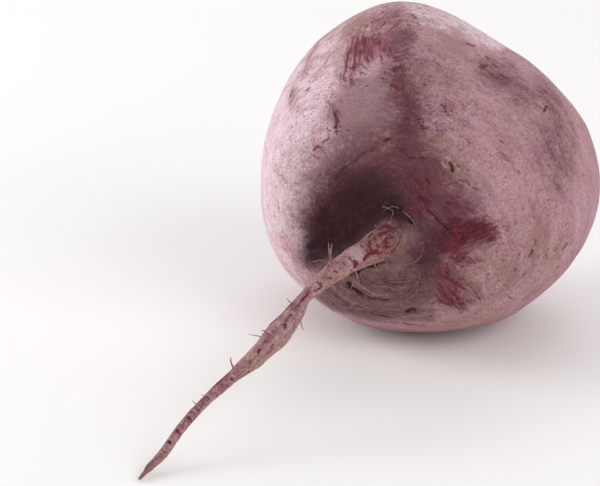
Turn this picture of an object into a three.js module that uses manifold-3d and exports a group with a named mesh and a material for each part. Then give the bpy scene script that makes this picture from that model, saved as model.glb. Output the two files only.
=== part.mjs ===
// A whole beetroot (Beta vulgaris), lying on its side as picked and trimmed: a broad blunt body with
// three soft lobes, a hollow beside the root, the long tap root that leaves it, bends and reaches
// the ground, a few fine side roots, and at the back the crown with its closely cut leaf stalks.
// It grew as one piece, so it is one solid. Millimetres, +Z up, the ground at Z = 0.
// The body's axis runs along Y: the tap root leaves towards -Y and the crown faces +Y.
import * as THREE from "three";
import { mergeVertices } from "three/addons/utils/BufferGeometryUtils.js";
import Module from "manifold-3d";

const RAD = Math.PI / 180;
const TURN = 2 * Math.PI;

// ---- body -------------------------------------------------------------------------------------
const GIRTH_RADIUS = 41; // mean radius at the widest ring
const ROOT_REACH = 42; // from the widest ring to the root end, along the axis
const CROWN_REACH = 30; // from the widest ring to the crown
const BLUNTNESS = 0.85; // 1 is an ellipsoid, less is squarer in profile
const CENTRE = new THREE.Vector3(0, 2, 37.6); // middle of the widest ring
const AXIS_DROOP = 4.5 * RAD; // how far the root end hangs below level
// Lobes of the widest ring: share of the radius, count round the body, where the first one peaks.
// Angles round the axis go from the top towards +X, in degrees.
const LOBES = [
  { share: 0.02, count: 1, peak: 30 },
  { share: 0.033, count: 2, peak: 100 },
  { share: 0.052, count: 3, peak: -15 },
];
// Gentle unevenness: height, waves round the body and from end to end, and their phases.
const SWELLS = [
  { height: 0.55, round: 3, along: 4, roundPhase: 2.1, alongPhase: 0.7 },
  { height: 0.4, round: 5, along: 6, roundPhase: -1.3, alongPhase: 1.9 },
  { height: 0.25, round: 8, along: 5, roundPhase: 0.4, alongPhase: 1.2 },
];
// Bulges and, with a height below 0, dents: the polar angle from the root end, the angle round the
// axis, and how far each spreads both ways, in degrees.
const FORMS = [
  { height: 3.4, polar: 46, around: -52, polarSpread: 14, aroundSpread: 36 }, // left shoulder
  { height: -2.6, polar: 46, around: 4, polarSpread: 24, aroundSpread: 12 }, // furrow over the top
  { height: 2.2, polar: 43, around: 56, polarSpread: 20, aroundSpread: 32 }, // right cheek
  { height: 1.0, polar: 66, around: 143, polarSpread: 22, aroundSpread: 13 }, // lower right heel
  { height: -1.1, polar: 70, around: 176, polarSpread: 24, aroundSpread: 14 }, // under the front
  { height: 0.8, polar: 95, around: 58, polarSpread: 30, aroundSpread: 16 }, // right side
  { height: -2.6, polar: 95, around: 28, polarSpread: 36, aroundSpread: 19 }, // flat upper right
  { height: 0.6, polar: 95, around: -12, polarSpread: 30, aroundSpread: 14 }, // top
  { height: 1.3, polar: 95, around: -52, polarSpread: 30, aroundSpread: 18 }, // upper left
  { height: 3.4, polar: 106, around: 172, polarSpread: 27, aroundSpread: 20 }, // belly it rests on
  { height: -2.2, polar: 100, around: 211, polarSpread: 26, aroundSpread: 17 }, // lower left side
];
const HOLLOW = { depth: 9, polar: 16, around: -66, spread: 18 }; // the deep round one by the root
const ROOT_DIMPLE_DEPTH = 2.5; // the root end draws in round the tap root
const ROOT_DIMPLE_RADIUS = 14;
const FOLD_HEIGHT = 0.5; // folds of skin that ring the root on its lower left
const FOLD_SPACING = 6.5;
const FOLD_REACH = 16; // how far from the collar they fade
const FOLD_START = 3; // over this distance out from the collar they rise
const FOLD_WAVES = 2; // each fold wanders in and out this many times round the body
const FOLD_AROUND = 205; // where they are highest, and how far round they go, in degrees
const FOLD_SPREAD = 60;
const CROWN_MOUND = 3.4; // leaf bases stand this proud of the crown
const CROWN_RADIUS = 14;
const CROWN_STEEPNESS = 4; // 2 is a bell-shaped mound, more has a flatter top and steeper sides
const CROWN_GROOVE = 1.4; // groove between the mound and the shoulder
const CROWN_GROOVE_RADIUS = 19.5;
const CROWN_GROOVE_WIDTH = 3.4;

// ---- collar and tap root ----------------------------------------------------------------------
const COLLAR_RADIUS = 8; // where the skin starts to turn up the root
const COLLAR_RISE = 5.5; // from the root's start to where the turn ends
const COLLAR_TUCK = 2; // 1 turns up in a quarter circle, more draws in to the root sooner
const ROOT_START = 38.5; // along the axis from the widest ring
const ROOT_LEAD_IN = 8; // the root's line starts this far inside the body
// Centre line of the tap root after it leaves the axis.
const ROOT_ROUTE = [
  [-3.1, -43.7, 33.8],
  [-6.5, -47.2, 32.5],
  [-10.4, -52.7, 30.5],
  [-15.4, -60.6, 26.7],
  [-17.1, -65.4, 24.1],
  [-19.7, -71.3, 21.0],
  [-22.7, -76.1, 18.0],
  [-28.0, -83.3, 14.0],
  [-32.5, -90.1, 10.1],
  [-35.8, -96.3, 6.5],
  [-38.3, -103.1, 2.9],
  [-39.9, -106.9, 1.6],
  [-41.2, -112.1, 0.4],
];
// Its radius: distance along the root from ROOT_START, then the radius there.
const ROOT_PROFILE = [
  [5.5, 3.75],
  [11.3, 2.9],
  [16.5, 2.4],
  [25, 2.0],
  [30.2, 1.5],
  [36, 2.3],
  [42.5, 3.15],
  [49.5, 2.4],
  [59, 1.4],
  [68, 1.1],
  [76, 1.03],
  [84, 1.1],
  [88.6, 0.92],
  [91, 0.5],
  [94, 0.36],
];
const ROOT_LENGTH = 93.6;
const TIP_LENGTH = 0.3; // the last ring stands this far from the tip
// The root is a little out of round: how far its flats stand off, as a share of the radius, how many
// go round it, and the length of root over which they wind by one radian.
const ROOT_FLATS = [
  { share: 0.07, count: 2, winding: 9 },
  { share: 0.05, count: 3, winding: -7 },
];

// ---- crown stalks -----------------------------------------------------------------------------
const STALK_COUNT = 21;
const STALK_ANGLE = 137.5; // each leaf stands this far round from the one before, in degrees
const STALK_SPREAD = 2.65; // times the square root of the stalk's number is its distance out
const STALK_WIDTH = [3.4, 8.2]; // youngest in the middle, oldest at the edge
const STALK_THICKNESS = [2.8, 4.4];
const STALK_HEIGHT = [4.2, 2.2]; // what the knife left of them above the mound
const STALK_UNEVEN = 0.5; // one is cut this much higher or lower than the next
const STALK_UNEVEN_TURN = 5;
const STALK_TIP = 0.47; // half the width at the cut, as a share of the width, and at the foot
const STALK_FOOT = 0.55;
const STALK_SUNK = 3;
const STALK_LEAN = 16; // the outermost stalk leans this far out, in degrees
const STALK_SIDES = 8;

// ---- side roots -------------------------------------------------------------------------------
// Each leaves the tap root at a distance along it and at an angle round it, and bends as it grows.
const SIDE_ROOTS = [
  { along: 7, around: 205, length: 5, radius: 0.4, bend: [0.5, 0.3, -0.2] },
  { along: 14, around: 170, length: 5, radius: 0.42, bend: [0.1, 0.2, -0.6] },
  { along: 19.5, around: -20, length: 5, radius: 0.4, bend: [0.2, 0.3, 0.4] },
  { along: 23, around: 110, length: 3.5, radius: 0.38, bend: [0.2, 0.1, -0.5] },
  { along: 34, around: 190, length: 4, radius: 0.38, bend: [0.3, -0.4, -0.4] },
];
const SIDE_ROOT_STEPS = 6;
const SIDE_ROOT_TAPER = 0.5; // of its thickness is gone at its end
const SIDE_ROOT_CURL = 1.6; // how strongly the bend has turned it by its end

// ---- mesh fineness ----------------------------------------------------------------------------
const BODY_SIDES = 64;
const COLLAR_SIDES = 32; // the crown's last rings, close to the axis, have as many
const CROWN_END_RINGS = 4;
const ROOT_SIDES = 16;
const SIDE_ROOT_SIDES = 5;
const BODY_RINGS = 40;
const END_CROWDING = 0.45; // rings crowd towards both ends by this share
const COLLAR_RINGS = 5;
const ROOT_RING_STEP = 2.1;
const COLLAR_GAP = 1; // at least this much lies between the root's last ring and the collar's first
const FRAME_STEP = 0.5;
const LINE_SAMPLES = 100; // in each span of the root's line, to measure its length

// Unit vectors of the body: along the axis towards the root, up across it, and to the right.
const ALONG = new THREE.Vector3(0, -Math.cos(AXIS_DROOP), -Math.sin(AXIS_DROOP));
const UP = new THREE.Vector3(0, -Math.sin(AXIS_DROOP), Math.cos(AXIS_DROOP));
const RIGHT = new THREE.Vector3(1, 0, 0);

const bell = (x) => Math.exp(-x * x);
const wrap = (angle) => angle - TURN * Math.round(angle / TURN);
const smooth = (x) => THREE.MathUtils.smoothstep(x, 0, 1);

function axisPoint(along, radius, around) {
  return CENTRE.clone()
    .addScaledVector(ALONG, along)
    .addScaledVector(UP, radius * Math.cos(around))
    .addScaledVector(RIGHT, radius * Math.sin(around));
}

// How far the skin stands off the plain form, along the line from the body's centre.
function unevenness(polar, around) {
  const fade = Math.sin(polar) ** 2;
  let height = 0;
  for (const s of SWELLS) {
    height += s.height * fade * Math.sin(s.round * around + s.roundPhase) *
      Math.sin(s.along * polar + s.alongPhase);
  }
  for (const f of FORMS) {
    height += f.height * bell((polar - f.polar * RAD) / (f.polarSpread * RAD)) *
      bell(wrap(around - f.around * RAD) / (f.aroundSpread * RAD));
  }
  const fromHollow = Math.acos(
    Math.cos(polar) * Math.cos(HOLLOW.polar * RAD) +
    Math.sin(polar) * Math.sin(HOLLOW.polar * RAD) * Math.cos(around - HOLLOW.around * RAD));
  return height - HOLLOW.depth * bell(fromHollow / (HOLLOW.spread * RAD));
}

// How far the mound of leaf bases stands off the crown.
const crownMound = (off) => CROWN_MOUND * Math.exp(-((off / CROWN_RADIUS) ** CROWN_STEEPNESS));

// A point of the skin, as distance along the axis and off it. polar is the angle from the root end.
function bodyPoint(polar, around) {
  const lobe = LOBES.reduce(
    (sum, l) => sum + l.share * Math.cos(l.count * (around - l.peak * RAD)), 0);
  const sine = Math.sin(polar) ** BLUNTNESS;
  const cosine = Math.sign(Math.cos(polar)) * Math.abs(Math.cos(polar)) ** BLUNTNESS;
  const stand = unevenness(polar, around);
  const radius = sine * (GIRTH_RADIUS * (1 + Math.sin(polar) ** 2 * lobe) + stand);
  if (cosine > 0) {
    const off = radius - COLLAR_RADIUS;
    const wander = Math.sin(FOLD_WAVES * around);
    const folds = FOLD_HEIGHT * Math.cos((TURN * radius) / FOLD_SPACING + wander) *
      bell(wrap(around - FOLD_AROUND * RAD) / (FOLD_SPREAD * RAD));
    const along = cosine * (ROOT_REACH + stand) -
      ROOT_DIMPLE_DEPTH * bell(radius / ROOT_DIMPLE_RADIUS) +
      folds * bell(off / FOLD_REACH) * smooth(off / FOLD_START);
    return { along, radius };
  }
  const along = cosine * (CROWN_REACH + stand) -
    crownMound(radius) +
    CROWN_GROOVE * bell((radius - CROWN_GROOVE_RADIUS) / CROWN_GROOVE_WIDTH);
  return { along, radius };
}

// The polar angle at which the plain form has a given radius, on the root's side.
const polarAtRadius = (radius) => Math.asin((radius / GIRTH_RADIUS) ** (1 / BLUNTNESS));

// ---- the tap root's centre line, with a frame carried along it without twist ---------------------
const rootLine = new THREE.CatmullRomCurve3([
  axisPoint(ROOT_START - ROOT_LEAD_IN, 0, 0),
  axisPoint(ROOT_START, 0, 0),
  ...ROOT_ROUTE.map((p) => new THREE.Vector3(...p)),
]);
const rootFrames = makeRootFrames();

function makeRootFrames() {
  const spans = rootLine.points.length - 1;
  const lengths = rootLine.getLengths(spans * LINE_SAMPLES);
  const leadIn = lengths[LINE_SAMPLES];
  const total = lengths[lengths.length - 1];
  const frames = [];
  let up = UP.clone();
  for (let s = 0; s <= ROOT_LENGTH + FRAME_STEP; s += FRAME_STEP) {
    const u = Math.min(1, (leadIn + s) / total);
    const tangent = rootLine.getTangentAt(u);
    up = up.clone().addScaledVector(tangent, -up.dot(tangent)).normalize();
    const right = new THREE.Vector3().crossVectors(up, tangent);
    frames.push({ at: rootLine.getPointAt(u), up, right });
  }
  return frames;
}

function rootPoint(distance, radius, around) {
  const step = THREE.MathUtils.clamp(Math.round(distance / FRAME_STEP), 0, rootFrames.length - 1);
  const frame = rootFrames[step];
  return frame.at.clone()
    .addScaledVector(frame.up, radius * Math.cos(around))
    .addScaledVector(frame.right, radius * Math.sin(around));
}

function rootRadius(distance) {
  const next = ROOT_PROFILE.findIndex(([at]) => at >= distance);
  if (next < 0) return ROOT_PROFILE[ROOT_PROFILE.length - 1][1];
  if (next === 0) return ROOT_PROFILE[0][1];
  const [from, low] = ROOT_PROFILE[next - 1];
  const [to, high] = ROOT_PROFILE[next];
  return THREE.MathUtils.lerp(low, high, smooth((distance - from) / (to - from)));
}

// ---- rings, and the skin stretched over them ------------------------------------------------------
function ring(sides, pointAt) {
  return Array.from({ length: sides }, (_, i) => pointAt((TURN * i) / sides));
}

// From the collar to the crown. The rings crowd towards both ends, where the form turns fastest.
function bodyRings() {
  const first = polarAtRadius(COLLAR_RADIUS);
  const rings = [];
  for (let i = 0; i < BODY_RINGS; i++) {
    const share = i / BODY_RINGS;
    const eased = share - (END_CROWDING * Math.sin(TURN * share)) / TURN;
    const polar = first + (Math.PI - first) * eased;
    const sides = i === 0 || i > BODY_RINGS - CROWN_END_RINGS ? COLLAR_SIDES : BODY_SIDES;
    rings.push(ring(sides, (around) => {
      const { along, radius } = bodyPoint(polar, around);
      return axisPoint(along, radius, around);
    }));
  }
  return rings;
}

// The skin turns up the root in a quarter curve, and from there it follows the bent root.
function collarRings() {
  const polar = polarAtRadius(COLLAR_RADIUS);
  const neck = rootRadius(COLLAR_RISE);
  const rings = [];
  for (let i = COLLAR_RINGS; i > 0; i--) {
    const share = i / COLLAR_RINGS;
    const turn = (Math.PI / 2) * share;
    rings.push(ring(COLLAR_SIDES, (around) => {
      const foot = bodyPoint(polar, around);
      const rise = ROOT_START + COLLAR_RISE - foot.along;
      const along = foot.along + rise * (1 - Math.cos(turn));
      const radius = neck + (foot.radius - neck) * (1 - Math.sin(turn)) ** COLLAR_TUCK;
      return axisPoint(along, radius, around)
        .lerp(rootPoint(along - ROOT_START, radius, around), smooth(share));
    }));
  }
  return rings;
}

// From the tip to the collar.
function rootRings() {
  const rings = [];
  for (let s = ROOT_LENGTH - TIP_LENGTH; s > COLLAR_RISE + COLLAR_GAP; s -= ROOT_RING_STEP) {
    rings.push(ring(ROOT_SIDES, (around) => {
      const flats = ROOT_FLATS.reduce(
        (sum, f) => sum + f.share * Math.cos(f.count * around + s / f.winding), 0);
      return rootPoint(s, rootRadius(s) * (1 + flats), around);
    }));
  }
  return rings;
}

// Joins two rings whose counts are equal or in the ratio 2 to 1.
function band(faces, from, fromCount, to, toCount) {
  const most = Math.max(fromCount, toCount);
  const onFrom = (i) => from + (Math.floor((i * fromCount) / most) % fromCount);
  const onTo = (i) => to + (Math.floor((i * toCount) / most) % toCount);
  for (let i = 0; i < most; i++) {
    const [a, b, c, d] = [onFrom(i), onFrom(i + 1), onTo(i + 1), onTo(i)];
    if (a !== b) faces.push([a, b, d]);
    if (c !== d) faces.push([b, c, d]);
  }
}

// A closed skin from one end point, over rings, to another end point.
function skin(startPoint, rings, endPoint) {
  const points = [startPoint, ...rings.flat(), endPoint];
  const faces = [];
  const first = rings[0].length;
  for (let i = 0; i < first; i++) faces.push([0, 1 + ((i + 1) % first), 1 + i]);
  let start = 1;
  for (let k = 1; k < rings.length; k++) {
    const next = start + rings[k - 1].length;
    band(faces, start, rings[k - 1].length, next, rings[k].length);
    start = next;
  }
  const last = rings[rings.length - 1].length;
  const end = points.length - 1;
  for (let i = 0; i < last; i++) faces.push([end, start + i, start + ((i + 1) % last)]);
  const geometry = new THREE.BufferGeometry();
  geometry.setAttribute("position",
    new THREE.Float32BufferAttribute(points.flatMap((p) => p.toArray()), 3));
  geometry.setIndex(faces.flat());
  return geometry;
}

// What would dip below the ground is flat on it: the body's small resting spot.
function rest(geometry) {
  const position = geometry.getAttribute("position");
  for (let i = 0; i < position.count; i++) position.setZ(i, Math.max(0, position.getZ(i)));
  return geometry;
}

function bodyWithRoot() {
  const tip = rootPoint(ROOT_LENGTH, 0, 0);
  const crown = axisPoint(bodyPoint(Math.PI, 0).along, 0, 0);
  return rest(skin(tip, [...rootRings(), ...collarRings(), ...bodyRings()], crown));
}

// ---- cut leaf stalks, in the spiral order in which leaves grow ------------------------------------
function crownStalk(number) {
  const age = number / STALK_COUNT;
  const out = STALK_SPREAD * Math.sqrt(number);
  const around = number * STALK_ANGLE * RAD;
  const seat = -(CROWN_REACH + crownMound(out));
  const uneven = STALK_UNEVEN * Math.sin(STALK_UNEVEN_TURN * number);
  const height = THREE.MathUtils.lerp(...STALK_HEIGHT, age) + uneven;
  const width = THREE.MathUtils.lerp(...STALK_WIDTH, age);
  const thickness = THREE.MathUtils.lerp(...STALK_THICKNESS, age);
  const stalk = new THREE.CylinderGeometry(STALK_TIP, STALK_FOOT, height + STALK_SUNK, STALK_SIDES);
  stalk.scale(width, 1, thickness);
  stalk.translate(0, (height - STALK_SUNK) / 2, 0);
  stalk.rotateX(STALK_LEAN * age * RAD);
  const outward = axisPoint(0, 1, around).sub(CENTRE);
  const back = ALONG.clone().negate();
  const sideways = new THREE.Vector3().crossVectors(back, outward);
  stalk.applyMatrix4(new THREE.Matrix4().makeBasis(sideways, back, outward));
  return stalk.translate(...axisPoint(seat, out, around).toArray());
}

// ---- thin side roots ------------------------------------------------------------------------------
function sideRoot({ along, around, length, radius, bend }) {
  const seat = rootPoint(along, 0, 0);
  const out = rootPoint(along, 1, around * RAD).sub(seat);
  const curl = new THREE.Vector3(...bend);
  const across = new THREE.Vector3().crossVectors(out, curl).normalize();
  const step = (length + rootRadius(along)) / SIDE_ROOT_STEPS;
  const rings = [];
  const at = seat.clone();
  let heading = out;
  for (let i = 0; i <= SIDE_ROOT_STEPS; i++) {
    const share = i / SIDE_ROOT_STEPS;
    const thickness = radius * (1 - SIDE_ROOT_TAPER * share);
    const other = new THREE.Vector3().crossVectors(heading, across);
    const centre = at.clone();
    rings.push(ring(SIDE_ROOT_SIDES, (turn) => centre.clone()
      .addScaledVector(across, thickness * Math.cos(turn))
      .addScaledVector(other, thickness * Math.sin(turn))));
    heading = out.clone().addScaledVector(curl, SIDE_ROOT_CURL * share).normalize();
    at.addScaledVector(heading, step);
  }
  return skin(seat.clone().addScaledVector(out, -radius), rings, at.addScaledVector(heading, -step / 2));
}

// ---- join it all into one solid -------------------------------------------------------------------
const wasm = await Module();
wasm.setup();

function solidOf(geometry) {
  const bare = geometry.clone();
  bare.deleteAttribute("normal");
  bare.deleteAttribute("uv");
  const merged = mergeVertices(bare);
  return new wasm.Manifold(new wasm.Mesh({
    numProp: 3,
    vertProperties: merged.getAttribute("position").array,
    triVerts: new Uint32Array(merged.index.array),
  }));
}

function geometryOf(solid) {
  const { vertProperties, triVerts } = solid.getMesh();
  const geometry = new THREE.BufferGeometry();
  geometry.setAttribute("position", new THREE.BufferAttribute(vertProperties, 3));
  geometry.setIndex(new THREE.BufferAttribute(triVerts, 1));
  geometry.computeVertexNormals();
  return geometry;
}

function beetrootSolid() {
  let solid = solidOf(bodyWithRoot());
  for (let number = 1; number <= STALK_COUNT; number++) solid = solid.add(solidOf(crownStalk(number)));
  for (const root of SIDE_ROOTS) solid = solid.add(solidOf(sideRoot(root)));
  return solid;
}

const skinMaterial = new THREE.MeshStandardMaterial({
  color: new THREE.Color(0.43, 0.25, 0.29), // dusty purple-red
  roughness: 0.72,
  metalness: 0,
});

const beetroot = new THREE.Mesh(geometryOf(beetrootSolid()), skinMaterial);
beetroot.name = "beetroot";
const part = new THREE.Group();
part.add(beetroot);

export default part;
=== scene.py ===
import itertools
import json
import math

import bpy
import numpy as np
from mathutils import Matrix, Vector


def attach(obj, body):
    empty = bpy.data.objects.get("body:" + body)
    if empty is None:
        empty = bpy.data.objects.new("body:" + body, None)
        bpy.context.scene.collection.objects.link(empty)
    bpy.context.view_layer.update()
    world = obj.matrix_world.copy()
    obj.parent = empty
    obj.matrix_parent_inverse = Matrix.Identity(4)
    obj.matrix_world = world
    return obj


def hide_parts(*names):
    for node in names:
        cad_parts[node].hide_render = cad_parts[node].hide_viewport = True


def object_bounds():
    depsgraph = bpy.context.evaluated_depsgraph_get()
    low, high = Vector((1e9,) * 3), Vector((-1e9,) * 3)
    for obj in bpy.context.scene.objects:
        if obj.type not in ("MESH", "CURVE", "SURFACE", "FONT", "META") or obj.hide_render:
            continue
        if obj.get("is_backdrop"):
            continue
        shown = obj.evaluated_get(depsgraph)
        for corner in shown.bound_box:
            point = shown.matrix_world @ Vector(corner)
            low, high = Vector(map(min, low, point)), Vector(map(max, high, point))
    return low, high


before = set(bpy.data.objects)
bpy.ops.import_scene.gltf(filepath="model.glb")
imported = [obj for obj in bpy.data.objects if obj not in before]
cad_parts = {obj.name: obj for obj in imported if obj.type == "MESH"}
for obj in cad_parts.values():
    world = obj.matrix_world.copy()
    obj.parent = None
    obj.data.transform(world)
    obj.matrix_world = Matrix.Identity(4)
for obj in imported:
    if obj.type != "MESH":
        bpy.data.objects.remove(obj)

CAD_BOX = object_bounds()
NODE = "beetroot"
MM = 0.001
RAD = math.pi / 180
TURN = 2 * math.pi
SEED = 7

# ---- the view: 600 x 486 pixels ----
VIEW_WIDTH = 600
VIEW_HEIGHT = 486
VIEW_AZIMUTH = 14.4 * RAD
VIEW_ELEVATION = 22 * RAD
VIEW_DISTANCE = 700
FOCAL_PIXELS = 2755.9
AIM_POINT = (0, 2, 38.6)
AIM_PIXEL = (424.6, 167.0)  # where the aim point shows
SENSOR_WIDTH = 36
CLIP_START = 0.01  # metres

# ---- the form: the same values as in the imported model's source ----
GIRTH_RADIUS = 41
ROOT_REACH = 42
CROWN_REACH = 30
BLUNTNESS = 0.85
CENTRE = np.array([0, 2, 37.6])
AXIS_DROOP = 4.5 * RAD
LOBES = [(0.02, 1, 30), (0.033, 2, 100), (0.052, 3, -15)]  # share, count, peak
SWELLS = [  # height, waves round and along, phases round and along
    (0.55, 3, 4, 2.1, 0.7),
    (0.4, 5, 6, -1.3, 1.9),
    (0.25, 8, 5, 0.4, 1.2),
]
FORMS = [  # height, polar angle from the root, angle round the axis, spread both ways
    (3.4, 46, -52, 14, 36),  # left shoulder
    (-2.6, 46, 4, 24, 12),  # furrow over the top
    (2.2, 43, 56, 20, 32),  # right cheek
    (1.0, 66, 143, 22, 13),  # lower right heel
    (-1.1, 70, 176, 24, 14),  # under the front
    (0.8, 95, 58, 30, 16),  # right side
    (-2.6, 95, 28, 36, 19),  # flat upper right
    (0.6, 95, -12, 30, 14),  # top
    (1.3, 95, -52, 30, 18),  # upper left
    (3.4, 106, 172, 27, 20),  # belly it rests on
    (-2.2, 100, 211, 26, 17),  # lower left side
]
HOLLOW_DEPTH = 9
HOLLOW_POLAR = 16
HOLLOW_AROUND = -66
HOLLOW_SPREAD = 18
ROOT_DIMPLE_DEPTH = 2.5
ROOT_DIMPLE_RADIUS = 14
FOLD_HEIGHT = 0.5
FOLD_SPACING = 6.5
FOLD_REACH = 16
FOLD_AROUND = 205
FOLD_SPREAD = 60
FOLD_WAVES = 2
FOLD_START = 3
CROWN_MOUND = 3.4
CROWN_RADIUS = 14
CROWN_STEEPNESS = 4
CROWN_GROOVE = 1.4
CROWN_GROOVE_RADIUS = 19.5
CROWN_GROOVE_WIDTH = 3.4
COLLAR_RADIUS = 8
COLLAR_RISE = 5.5
COLLAR_TUCK = 2
COLLAR_GAP = 0.3  # between the collar's top and the root's first ring
ROOT_START = 38.5
ROOT_LEAD_IN = 8
ROOT_ROUTE = [
    (-3.1, -43.7, 33.8),
    (-6.5, -47.2, 32.5),
    (-10.4, -52.7, 30.5),
    (-15.4, -60.6, 26.7),
    (-17.1, -65.4, 24.1),
    (-19.7, -71.3, 21.0),
    (-22.7, -76.1, 18.0),
    (-28.0, -83.3, 14.0),
    (-32.5, -90.1, 10.1),
    (-35.8, -96.3, 6.5),
    (-38.3, -103.1, 2.9),
    (-39.9, -106.9, 1.6),
    (-41.2, -112.1, 0.4),
]
ROOT_PROFILE = [  # distance along the root, radius there
    (5.5, 3.75), (11.3, 2.9), (16.5, 2.4), (25, 2.0), (30.2, 1.5), (36, 2.3), (42.5, 3.15), (49.5, 2.4),
    (59, 1.4), (68, 1.1), (76, 1.03), (84, 1.1), (88.6, 0.92), (91, 0.5), (94, 0.36),
]
ROOT_LENGTH = 93.6
TIP_LENGTH = 0.3
ROOT_FLATS = [(0.07, 2, 9), (0.05, 3, -7)]  # share, count, winding
STALK_COUNT = 21
STALK_ANGLE = 137.5
STALK_SPREAD = 2.65
STALK_WIDTH = (3.4, 8.2)
STALK_THICKNESS = (2.8, 4.4)
STALK_HEIGHT = (4.2, 2.2)
STALK_UNEVEN = 0.5
STALK_UNEVEN_TURN = 5
STALK_LEAN = 16

# ---- mesh fineness ----
BODY_SIDES = 384
BODY_RINGS = 214
END_CROWDING = 0.3
COLLAR_RINGS = 14
COLLAR_SIDES = 96
ROOT_SIDES = 48
ROOT_RING_STEP = 0.45
FINE_RADIUS = 14  # inside this distance from the axis a ring has half the sides

ALONG = np.array([0, -math.cos(AXIS_DROOP), -math.sin(AXIS_DROOP)])
UP = np.array([0, -math.sin(AXIS_DROOP), math.cos(AXIS_DROOP)])
RIGHT = np.array([1.0, 0, 0])


# ---- the body ----
def bell(x):
    """1 at 0, falling to nothing on both sides."""
    return np.exp(-x * x)


def smooth(x):
    """A soft step from 0 to 1."""
    x = np.clip(x, 0, 1)
    return x * x * (3 - 2 * x)


def wrap(angle):
    """The same angle, within half a turn of 0."""
    return angle - TURN * np.round(angle / TURN)


def axis_point(along, radius, around):
    """A place given by its distance along the body's axis, its distance off it and the angle round it."""
    along, radius, around = np.broadcast_arrays(along, radius, around)
    return (CENTRE + along[..., None] * ALONG + (radius * np.cos(around))[..., None] * UP
            + (radius * np.sin(around))[..., None] * RIGHT)


def unevenness(polar, around):
    """How far the named forms, the hollow and the soft swells stand off the plain body."""
    fade = np.sin(polar) ** 2
    height = 0
    for rise, waves, waves_along, phase, phase_along in SWELLS:
        height = height + (rise * fade * np.sin(waves * around + phase)
                           * np.sin(waves_along * polar + phase_along))
    for rise, at_polar, at_around, polar_spread, around_spread in FORMS:
        height = height + (rise * bell((polar - at_polar * RAD) / (polar_spread * RAD))
                           * bell(wrap(around - at_around * RAD) / (around_spread * RAD)))
    from_hollow = np.arccos(np.clip(
        np.cos(polar) * math.cos(HOLLOW_POLAR * RAD)
        + np.sin(polar) * math.sin(HOLLOW_POLAR * RAD) * np.cos(around - HOLLOW_AROUND * RAD), -1, 1))
    return height - HOLLOW_DEPTH * bell(from_hollow / (HOLLOW_SPREAD * RAD))


def body_profile(polar, around):
    """Distance along the axis and off it, for a polar angle from the root end and an angle round."""
    lobe = sum(share * np.cos(count * (around - peak * RAD)) for share, count, peak in LOBES)
    sine = np.sin(polar) ** BLUNTNESS
    cosine = np.sign(np.cos(polar)) * np.abs(np.cos(polar)) ** BLUNTNESS
    stand = unevenness(polar, around)
    radius = sine * (GIRTH_RADIUS * (1 + np.sin(polar) ** 2 * lobe) + stand)
    off = radius - COLLAR_RADIUS
    folds = (FOLD_HEIGHT * np.cos(TURN * radius / FOLD_SPACING + np.sin(FOLD_WAVES * around))
             * bell(wrap(around - FOLD_AROUND * RAD) / (FOLD_SPREAD * RAD)))
    root_side = (cosine * (ROOT_REACH + stand) - ROOT_DIMPLE_DEPTH * bell(radius / ROOT_DIMPLE_RADIUS)
                 + folds * bell(off / FOLD_REACH) * smooth(off / FOLD_START))
    crown_side = (cosine * (CROWN_REACH + stand)
                  - CROWN_MOUND * np.exp(-((radius / CROWN_RADIUS) ** CROWN_STEEPNESS))
                  + CROWN_GROOVE * bell((radius - CROWN_GROOVE_RADIUS) / CROWN_GROOVE_WIDTH))
    return np.where(cosine > 0, root_side, crown_side), radius


# ---- the tap root's centre line ----
def centripetal(points, per_span):
    """A smooth curve through the points, with `per_span` samples in each span."""
    points = np.asarray(points, float)
    ends = np.vstack([2 * points[0] - points[1], points, 2 * points[-1] - points[-2]])
    t = np.linspace(0, 1, per_span, endpoint=False)[:, None]
    spans = []
    for a, b, c, d in zip(ends, ends[1:], ends[2:], ends[3:]):
        before, here, after = (math.sqrt(np.linalg.norm(q - p)) for p, q in ((a, b), (b, c), (c, d)))
        leave = ((b - a) / before - (c - a) / (before + here) + (c - b) / here) * here
        arrive = ((c - b) / here - (d - b) / (here + after) + (d - c) / after) * here
        spans.append(b + leave * t + (3 * (c - b) - 2 * leave - arrive) * t ** 2
                     + (2 * (b - c) + leave + arrive) * t ** 3)
    return np.vstack(spans + [ends[-2][None]])


class RootLine:
    """The root's centre line, with a frame carried along it without twist."""

    STEP = 0.25
    SAMPLES = 60  # in each span of the route

    def __init__(self):
        lead_in = axis_point(ROOT_START - ROOT_LEAD_IN, 0, 0)
        start = axis_point(ROOT_START, 0, 0)
        line = centripetal([lead_in, start, *ROOT_ROUTE], self.SAMPLES)[self.SAMPLES:]
        travelled = np.concatenate([[0], np.cumsum(np.linalg.norm(np.diff(line, axis=0), axis=1))])
        self.distance = np.arange(0, ROOT_LENGTH + 2 * self.STEP, self.STEP)
        self.at = np.stack([np.interp(self.distance, travelled, line[:, k]) for k in range(3)], axis=1)
        tangent = np.gradient(self.at, axis=0)
        tangent /= np.linalg.norm(tangent, axis=1)[:, None]
        up = UP.copy()
        ups = []
        for direction in tangent:
            up = up - direction * up.dot(direction)
            up /= np.linalg.norm(up)
            ups.append(up)
        self.up = np.array(ups)
        self.right = np.cross(self.up, tangent)

    def point(self, distance, radius, around):
        distance, radius, around = np.broadcast_arrays(distance, radius, around)
        at, up, right = (
            np.stack([np.interp(distance, self.distance, rows[:, k]) for k in range(3)], axis=-1)
            for rows in (self.at, self.up, self.right))
        return at + (radius * np.cos(around))[..., None] * up + (radius * np.sin(around))[..., None] * right


ROOT_LINE = RootLine()


def root_radius(distance):
    at, radii = np.array(ROOT_PROFILE).T
    span = np.clip(np.searchsorted(at, distance) - 1, 0, len(at) - 2)
    share = smooth((distance - at[span]) / (at[span + 1] - at[span]))
    return radii[span] + (radii[span + 1] - radii[span]) * share


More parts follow.
